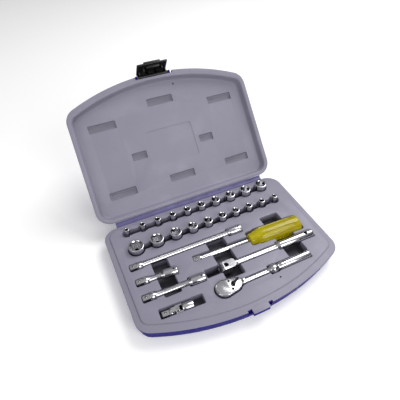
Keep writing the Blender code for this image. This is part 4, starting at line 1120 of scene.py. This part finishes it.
def buildSpinner():
    matrix = toolMatrix("spinner")
    length = tools["spinner"]["length"]
    nose = length - 0.0745
    shaft = lathe(
        [
            (0, nose + 0.0480),
            (0.0034, nose + 0.0480),
            (0.0035, nose + 0.0478),
            (0.0035, 0.0113),
            (0.0036, 0.0100),
            (0.0040, 0.0090),
            (0.0040, 0.0086),
            (0.0037, drive["length"]),
            (0, drive["length"]),
        ],
        40,
    )
    shaft = combine(shaft, [squareDrive(0)], "UNION")
    shaft = combine(shaft, [ballHole(0)])
    piece("spinnerShaft", shaft, "spinner", chrome, ["spinner_shaft"], matrix, 30)
    buildBall("spinnerBall", 0, "spinner", ["spinner_ball"], matrix)
    radius = 0.0125
    grip = lathe(
        [
            (0, length),
            (radius - 0.0040, length),
            (radius - 0.0024, length - 0.0003),
            (radius - 0.0010, length - 0.0012),
            (radius - 0.0003, length - 0.0024),
            (radius, length - 0.0042),
            (radius, nose + 0.0220),
            (radius - 0.0004, nose + 0.0170),
            (radius - 0.0013, nose + 0.0125),
            (radius - 0.0028, nose + 0.0080),
            (0.0089, nose + 0.0048),
            (0.0087, nose + 0.0036),
            (0.0086, nose + 0.0016),
            (0.0081, nose + 0.0005),
            (0.0070, nose),
            (0, nose),
        ],
        96,
    )
    cuts = []
    for k in range(6):
        angle = 2 * math.pi * (k + 0.5) / 6
        reach = radius + 0.0018
        flute = lathe(
            [
                (0, length - 0.0072), (
                    0.0010, length - 0.0073
                ), (0.0020, length - 0.0080), (0.0029, length - 0.0096),
                (
                    0.0034, length - 0.0120
                ), (0.0034, nose + 0.0190), (0.0030, nose + 0.0165), (0.0020, nose + 0.0150),
                (0.0009, nose + 0.0142), (0, nose + 0.0140),
            ],
            24,
        )
        bmesh.ops.translate(
            flute, verts=flute.verts, vec=(reach * math.cos(angle), reach * math.sin(angle), 0)
        )
        cuts.append(flute)
    cuts.append(cylinder(0.0038, nose - 0.001, nose + 0.0484, steps=32))
    cuts.append(cylinder(0.0063, length - 0.0164, length + 0.001, steps=32))
    grip = combine(grip, cuts)
    piece("spinnerGrip", grip, "spinner", acetate, ["spinner_grip"], matrix, 38)
    insert = cylinder(0.0060, length - 0.0160, length - 0.0006, steps=40)
    insert = combine(insert, squareHole(length - 0.0006))
    piece("spinnerInsert", insert, "spinner", darkChrome, ["spinner_insert"], matrix, 30)


def buildFlexHandle():
    matrix = toolMatrix("flex")
    length, grip, fork, wide = 0.1345, 0.0805, 0.0048, 0.0061
    profile = [
        (0, length),
        (0.0040, length),
        (0.0050, length - 0.0003),
        (0.0057, length - 0.0010),
        (0.0060, length - 0.0020),
        (0.0060, grip + 0.0040),
        (0.0058, grip + 0.0030),
        (0.0049, grip + 0.0010),
        (0.0043, grip - 0.0006),
        (0.0040, grip - 0.0030),
        (0.0037, grip - 0.0200),
        (0.0037, 0.0245),
        (0.0040, 0.0225),
        (0.0046, 0.0195),
        (0, 0.0160),
    ]
    handle = lathe(profile, 48)
    eye = cylinder(fork, -wide, wide, "Y", (0, 0, fork), 40)
    roundEdges(
        eye, [edge for edge in eye.edges if abs(edge.verts[0].co.y - edge.verts[1].co.y) < 0.0001], 0.0005, 3
    )
    cheeks = plate(
        [(fork, -wide), (0.0175, -wide), (0.0205, -0.0046), (0.0205, 0.0046), (0.0175, wide), (fork, wide)],
        -fork + 0.0001,
        fork - 0.0001,
        0.0012,
    )
    bmesh.ops.transform(cheeks, matrix=Matrix.Rotation(math.pi / 2, 4, "Y"), verts=cheeks.verts)
    bmesh.ops.transform(cheeks, matrix=Matrix.Diagonal((1, 1, -1, 1)), verts=cheeks.verts)
    handle = combine(handle, [eye, cheeks], "UNION")
    slot = block((-0.01, -0.0029, -0.001), (0.01, 0.0029, 0.0115))
    deepEnd = [
        edge
        for edge in slot.edges if all(
            vert.co.z > 0.011 for vert in edge.verts
        ) and abs(edge.verts[0].co.x - edge.verts[1].co.x) > 0.01
    ]
    roundEdges(slot, deepEnd, 0.0026, 6)
    cuts = [
        slot,
        cylinder(0.0016, -0.01, 0.01, "Y", (0, 0, fork), 24),
        cylinder(0.0024, -0.01, 0.01, "X", (0, 0, length - 0.0110), 32),
    ]
    handle = combine(handle, cuts)
    piece("flexHandle", handle, "flex_handle", chrome, ["flex_handle"], matrix, 30)
    pivot = matrix @ Matrix.Translation((0, 0, fork)) @ Matrix.Rotation(-math.pi / 2, 4, "Y")
    half, reach = 0.0026, 0.0150
    head = cylinder(fork - 0.0003, -half, half, "Y", steps=40)
    neck = block((-0.0030, -half, -0.0075), (0.0030, half, 0))
    collar = lathe(
        [
            (0, -0.0054),
            (0.0041, -0.0054),
            (0.0047, -0.0058),
            (0.0047, -0.0063),
            (0.0042, drive["length"] - reach),
            (0, drive["length"] - reach),
        ],
        40,
    )
    head = combine(head, [neck, collar, squareDrive(-reach)], "UNION")
    head = combine(head, [ballHole(-reach), cylinder(0.0016, -0.01, 0.01, "Y", steps=24)])
    piece("flexHead", head, "flex_head", darkChrome, ["flex_head"], pivot, 30)
    buildBall("flexBall", -reach, "flex_head", ["flex_ball"], pivot)
    pin = cylinder(0.0013, -wide + 0.0002, wide - 0.0002, "Y", steps=24)
    piece("flexPin", pin, "flex_handle", groundSteel, ["flex_pin"], pivot)


def softPlate(points, low, high, ease, segments=3):
    # a slab whose top and bottom rims are rounded over
    bm = plate(points, low, high)
    rims = [edge for edge in bm.edges if abs(edge.verts[0].co.z - edge.verts[1].co.z) < 0.000001]
    roundEdges(bm, rims, ease, segments)
    return bm


def buildRatchet():
    x, y, z = tools["ratchet"]["place"]
    seat = Matrix.Translation((x, y, z))
    top, length = 0.0055, 0.1190
    coverLow = top - 0.0013
    body = lathe(
        [
            (0, length),
            (0.0036, length),
            (0.0044, length - 0.0003),
            (0.0050, length - 0.0010),
            (0.0052, length - 0.0020),
            (0.0052, 0.0775),
            (0.0050, 0.0760),
            (0.0042, 0.0735),
            (0.0042, 0.0722),
            (0.0049, 0.0708),
            (0.0056, 0.0690),
            (0.0060, 0.0665),
            (0.0059, 0.0650),
            (0.0053, 0.0632),
            (0.0042, 0.0614),
            (0.0034, 0.0600),
            (0.0031, 0.0560),
            (0.0031, 0.0400),
            (0.0033, 0.0300),
            (0.0036, 0.0240),
            (0, 0.0235),
        ],
        48,
    )
    bmesh.ops.transform(body, matrix=Matrix.Rotation(math.pi / 2, 4, "Y"), verts=body.verts)
    head = softPlate(headOutline(0), -top, top, 0.0010)
    neckTop = block((0.0212, -0.01, top - 0.0022), (0.0300, 0.01, top + 0.001))
    neckLow = block((0.0212, -0.01, -top - 0.001), (0.0300, 0.01, -top + 0.0022))
    for wedge, side in ((neckTop, 1), (neckLow, -1)):
        bmesh.ops.rotate(
            wedge,
            verts=wedge.verts,
            cent=(0.0212, 0, side * top),
            matrix=Matrix.Rotation(side * math.radians(17), 3, "Y"),
        )
    body = combine(body, [combine(head, [neckTop, neckLow])], "UNION")
    floor = -top + 0.0020
    cuts = [
        plate(headOutline(0.0012, 0), coverLow - 0.0003, top + 0.001),
        cylinder(0.0074, floor, top, steps=48),
        cylinder(0.0043, floor, top, at=(0.0114, 0, 0)),
        cylinder(0.0053, -top - 0.001, floor + 0.001, steps=40),
    ]
    for side in (-1, 1):
        cuts.append(cylinder(0.0011, 0.0006, top, at=(0.0080, side * 0.0056, 0), steps=20))
    body = combine(body, cuts)
    piece("ratchetBody", body, "ratchet", chrome, ["ratchet_body"], seat, 30)
    cover = softPlate(headOutline(0.0015, 0), coverLow, top, 0.0003)
    holes = [cylinder(0.0020, 0, 0.01, at=(0.0114, 0, 0), steps=24)]
    for number, side in enumerate((-1, 1)):
        place = (0.0080, side * 0.0056, 0)
        holes.append(cylinder(0.0016, 0, 0.01, at=place, steps=24))
        screw = cylinder(0.0008, 0.0009, top, at=place, steps=20)
        screwHead = lathe(
            [
                (0, top + 0.0003),
                (0.0009, top + 0.0003),
                (0.0012, top + 0.00015),
                (0.0013, top - 0.0001),
                (0.0013, top - 0.0008),
                (0, top - 0.0008),
            ],
            28,
        )
        bmesh.ops.translate(screwHead, verts=screwHead.verts, vec=place)
        screw = combine(screw, [screwHead], "UNION")
        slots = [
            block(
                (0.0080 - 0.0009, place[1] - 0.00018, top - 0.0002),
                (0.0080 + 0.0009, place[1] + 0.00018, top + 0.001),
            )
        ]
        slots.append(
            block(
                (0.0080 - 0.00018, place[1] - 0.0009, top - 0.0002),
                (0.0080 + 0.00018, place[1] + 0.0009, top + 0.001),
            )
        )
        screw = combine(screw, slots)
        piece(
            f"coverScrew{number + 1}",
            screw,
            "ratchet",
            blackSteel,
            [f"cover_screw_{number + 1}"],
            seat,
            30,
        )
    cover = combine(cover, holes)
    piece("ratchetCover", cover, "ratchet", chrome, ["ratchet_cover"], seat, 30)
    buildGear(seat, floor, coverLow)
    buildReverser(seat, floor, coverLow, top)


def buildGear(seat, floor, ceiling):
    low, high = floor + 0.0003, ceiling - 0.0006
    teeth = []
    for k in range(24):
        for share, radius in ((0, 0.0063), (0.28, 0.0063), (0.5, 0.0070), (0.72, 0.0070)):
            angle = 2 * math.pi * (k + share) / 24
            teeth.append((radius * math.cos(angle), radius * math.sin(angle)))
    gear = plate(teeth, low, high)
    reach = 0.0150
    stem = lathe(
        [
            (0, low + 0.001),
            (0.0050, low + 0.001),
            (0.0050, -0.0063),
            (0.0046, drive["length"] - reach),
            (0, drive["length"] - reach),
        ],
        40,
    )
    gear = combine(gear, [stem, squareDrive(-reach)], "UNION")
    gear = combine(gear, [ballHole(-reach)])
    piece("ratchetGear", gear, "ratchet_drive", darkChrome, ["ratchet_gear"], seat, 30)
    buildBall("ratchetBall", -reach, "ratchet_drive", ["ratchet_ball"], seat)


def buildReverser(seat, floor, ceiling, top):
    axis = seat @ Matrix.Translation((0.0114, 0, 0)) @ Matrix.Rotation(math.radians(27), 4, "Z")
    low, high = floor + 0.0003, ceiling - 0.0006
    piece(
        "ratchetPawl",
        block((-0.0026, -0.0026, low), (0.0024, 0.0026, high), 0.0003),
        "reverser",
        groundSteel,
        ["ratchet_pawl"],
        axis,
    )
    lever = cylinder(0.0016, high + 0.0003, top + 0.0018, steps=28)
    hub = lathe(
        [
            (0, top + 0.0021),
            (0.0018, top + 0.0021),
            (0.0024, top + 0.0019),
            (0.0027, top + 0.0014),
            (0.0027, top + 0.0004),
            (0, top + 0.0004),
        ],
        36,
    )
    tail = plate(
        [(0, -0.0022), (0.0050, -0.0011), (0.0096, -0.0013), (0.0096, 0.0013), (0.0050, 0.0011), (0, 0.0022)],
        top + 0.0005,
        top + 0.0019,
        0.0007,
    )
    rims = [edge for edge in tail.edges if all(vert.co.z > top + 0.0018 for vert in edge.verts)]
    roundEdges(tail, rims, 0.0004, 3)
    lever = combine(lever, [hub, tail], "UNION")
    piece("reverserLever", lever, "reverser", blackSteel, ["ratchet_lever"], axis, 30)


def yokeEars(low, high, centre, across):
    # two parallel ears with round ends about the cross
    inner, outer, radius = 0.0032, 0.0051, 0.0029
    shapes = []
    for side in (-1, 1):
        near, far = sorted((side * inner, side * outer))
        span = ((near, -radius), (far, radius)) if across == "X" else ((-radius, near), (radius, far))
        shapes.append(block((*span[0], low), (*span[1], high)))
        shapes.append(cylinder(radius, near, far, across, (0, 0, centre), 32))
    return shapes


def buildJoint():
    matrix = toolMatrix("joint")
    centre, length = 0.0175, 0.0370
    socket = lathe(
        [
            (0, length), (0.0050, length), (
                0.0056, length - 0.0002
            ), (0.0059, length - 0.0008), (0.0059, centre + 0.0090),
            (0.0058, centre + 0.0080), (
                0.0054, centre + 0.0066
            ), (0.0048, centre + 0.0058), (0.0044, centre + 0.0056), (0, centre + 0.0056),
        ],
        48,
    )
    socket = combine(socket, yokeEars(centre, centre + 0.0066, centre, "Y"), "UNION")
    socket = combine(socket, [*squareHole(length), cylinder(0.0013, -0.01, 0.01, "Y", (0, 0, centre), 24)])
    piece("jointSocketYoke", socket, "universal_joint", chrome, ["joint_socket_yoke"], matrix, 30)
    cross = matrix @ Matrix.Translation((0, 0, centre))
    cube = combine(
        block((-0.0028,) * 3, (0.0028,) * 3, 0.0003),
        [cylinder(0.0013, -0.01, 0.01, "Y", steps=24), cylinder(0.0013, -0.01, 0.01, "X", steps=24)],
    )
    piece("jointCross", cube, "joint_cross", darkChrome, ["joint_cross"], cross, 30)
    outer = 0.0051
    for name, node, low, high, axis in (
        ("jointLongPin", "joint_long_pin", -outer, outer, "Y"),
        ("jointShortPin", "joint_short_pin", 0.0014, outer, "X"),
        ("jointShortPinTwo", "joint_short_pin_2", -outer, -0.0014, "X"),
    ):
        piece(
            name,
            cylinder(0.0010, low, high, axis, steps=24),
            "joint_cross",
            groundSteel,
            [node],
            cross,
        )
    tip = -centre
    yoke = lathe(
        [
            (0, -0.0056), (0.0042, -0.0056), (0.0048, -0.0060), (0.0050, -0.0068), (0.0048, tip + 0.0096),
            (0.0048, tip + 0.0088), (0.0044, tip + drive["length"]), (0, tip + drive["length"]),
        ],
        48,
    )
    yoke = combine(yoke, [*yokeEars(-0.0066, 0, 0, "X"), squareDrive(tip)], "UNION")
    yoke = combine(yoke, [ballHole(tip), cylinder(0.0013, -0.01, 0.01, "X", steps=24)])
    piece("jointDriveYoke", yoke, "drive_yoke", chrome, ["joint_drive_yoke"], cross, 30)
    buildBall("jointBall", tip, "drive_yoke", ["joint_ball"], cross)


buildBar("long", "extension_long")
buildBar("short", "extension_short")
buildBar("medium", "extension_medium")
buildSpinner()
buildFlexHandle()
buildRatchet()
buildJoint()
print("tools built")


# stage, lights and camera

studio = {
    "floorShade": 0.92,
    "skyStops": ((0.0, 0.10), (0.22, 0.06), (0.45, 0.16), (0.62, 0.62), (1.0, 1.05)),
    "skyStrength": 0.62,
    "key": {"place": (0.85, 0.35, 1.20), "size": 0.9, "power": 14.0},
    "fill": {"place": (-1.05, -0.60, 0.75), "size": 0.8, "power": 5.0},
    "front": {"place": (0.40, -1.15, 0.85), "size": 0.7, "power": 9.0},
    "eye": (-0.13445, -0.24130, 0.37683),
    "azimuth": math.radians(-23.46),
    "elevation": math.radians(44.56),
    "roll": math.radians(-1.84),
    "lens": 31.53,
}


def buildStage():
    bm = bmesh.new()
    bmesh.ops.create_grid(bm, x_segments=2, y_segments=2, size=6)
    floor = asObject(bm, "floor")
    floor.location.z = -0.0005
    finish = Finish("floorPaint", Roughness=0.85, Emission_Color=rgba(1, 1, 1), Emission_Strength=0.16)
    shade = studio["floorShade"]
    mottle = finish.noise(6, 3)
    finish.set(
        "Base Color",
        finish.blendColours(
            mottle, rgba(shade, shade, shade), rgba(shade * 0.985, shade * 0.985, shade * 0.985)
        ),
    )
    floor.data.materials.append(finish.material)
    world = bpy.data.worlds.new("studio")
    bpy.context.scene.world = world
    world.use_nodes = True
    nodes, links = world.node_tree.nodes, world.node_tree.links
    where = nodes.new("ShaderNodeTexCoord")
    split = nodes.new("ShaderNodeSeparateXYZ")
    ramp = nodes.new("ShaderNodeValToRGB")
    links.new(where.outputs["Generated"], split.inputs[0])
    links.new(split.outputs["Z"], ramp.inputs[0])
    finish.setStops(ramp.color_ramp, studio["skyStops"])
    links.new(ramp.outputs[0], nodes["Background"].inputs[0])
    nodes["Background"].inputs[1].default_value = studio["skyStrength"]


def buildLights():
    middle = Vector((0, 0.03, 0.03))
    for name in ("key", "fill", "front"):
        light = bpy.data.lights.new(name, "AREA")
        light.shape = "SQUARE"
        light.size = studio[name]["size"]
        light.energy = studio[name]["power"]
        lamp = bpy.data.objects.new(name, light)
        bpy.context.scene.collection.objects.link(lamp)
        lamp.location = studio[name]["place"]
        lamp.rotation_mode = "QUATERNION"
        lamp.rotation_quaternion = (Vector(studio[name]["place"]) - middle).to_track_quat("Z", "Y")


def buildCamera():
    a, e, r = studio["azimuth"], studio["elevation"], studio["roll"]
    back = Vector((math.sin(a) * math.cos(e), -math.cos(a) * math.cos(e), math.sin(e)))
    right = Vector((math.cos(a), math.sin(a), 0))
    up = back.cross(right)
    right, up = right * math.cos(r) + up * math.sin(r), up * math.cos(r) - right * math.sin(r)
    data = bpy.data.cameras.new("camera")
    camera = bpy.data.objects.new("camera", data)
    bpy.context.scene.collection.objects.link(camera)
    turn = Matrix((right, up, back)).transposed().to_4x4()
    camera.matrix_world = Matrix.Translation(studio["eye"]) @ turn
    data.sensor_width = 36
    data.lens = studio["lens"]
    data.clip_start = 0.01
    bpy.context.scene.camera = camera


buildStage()
buildLights()
buildCamera()
print("studio built")
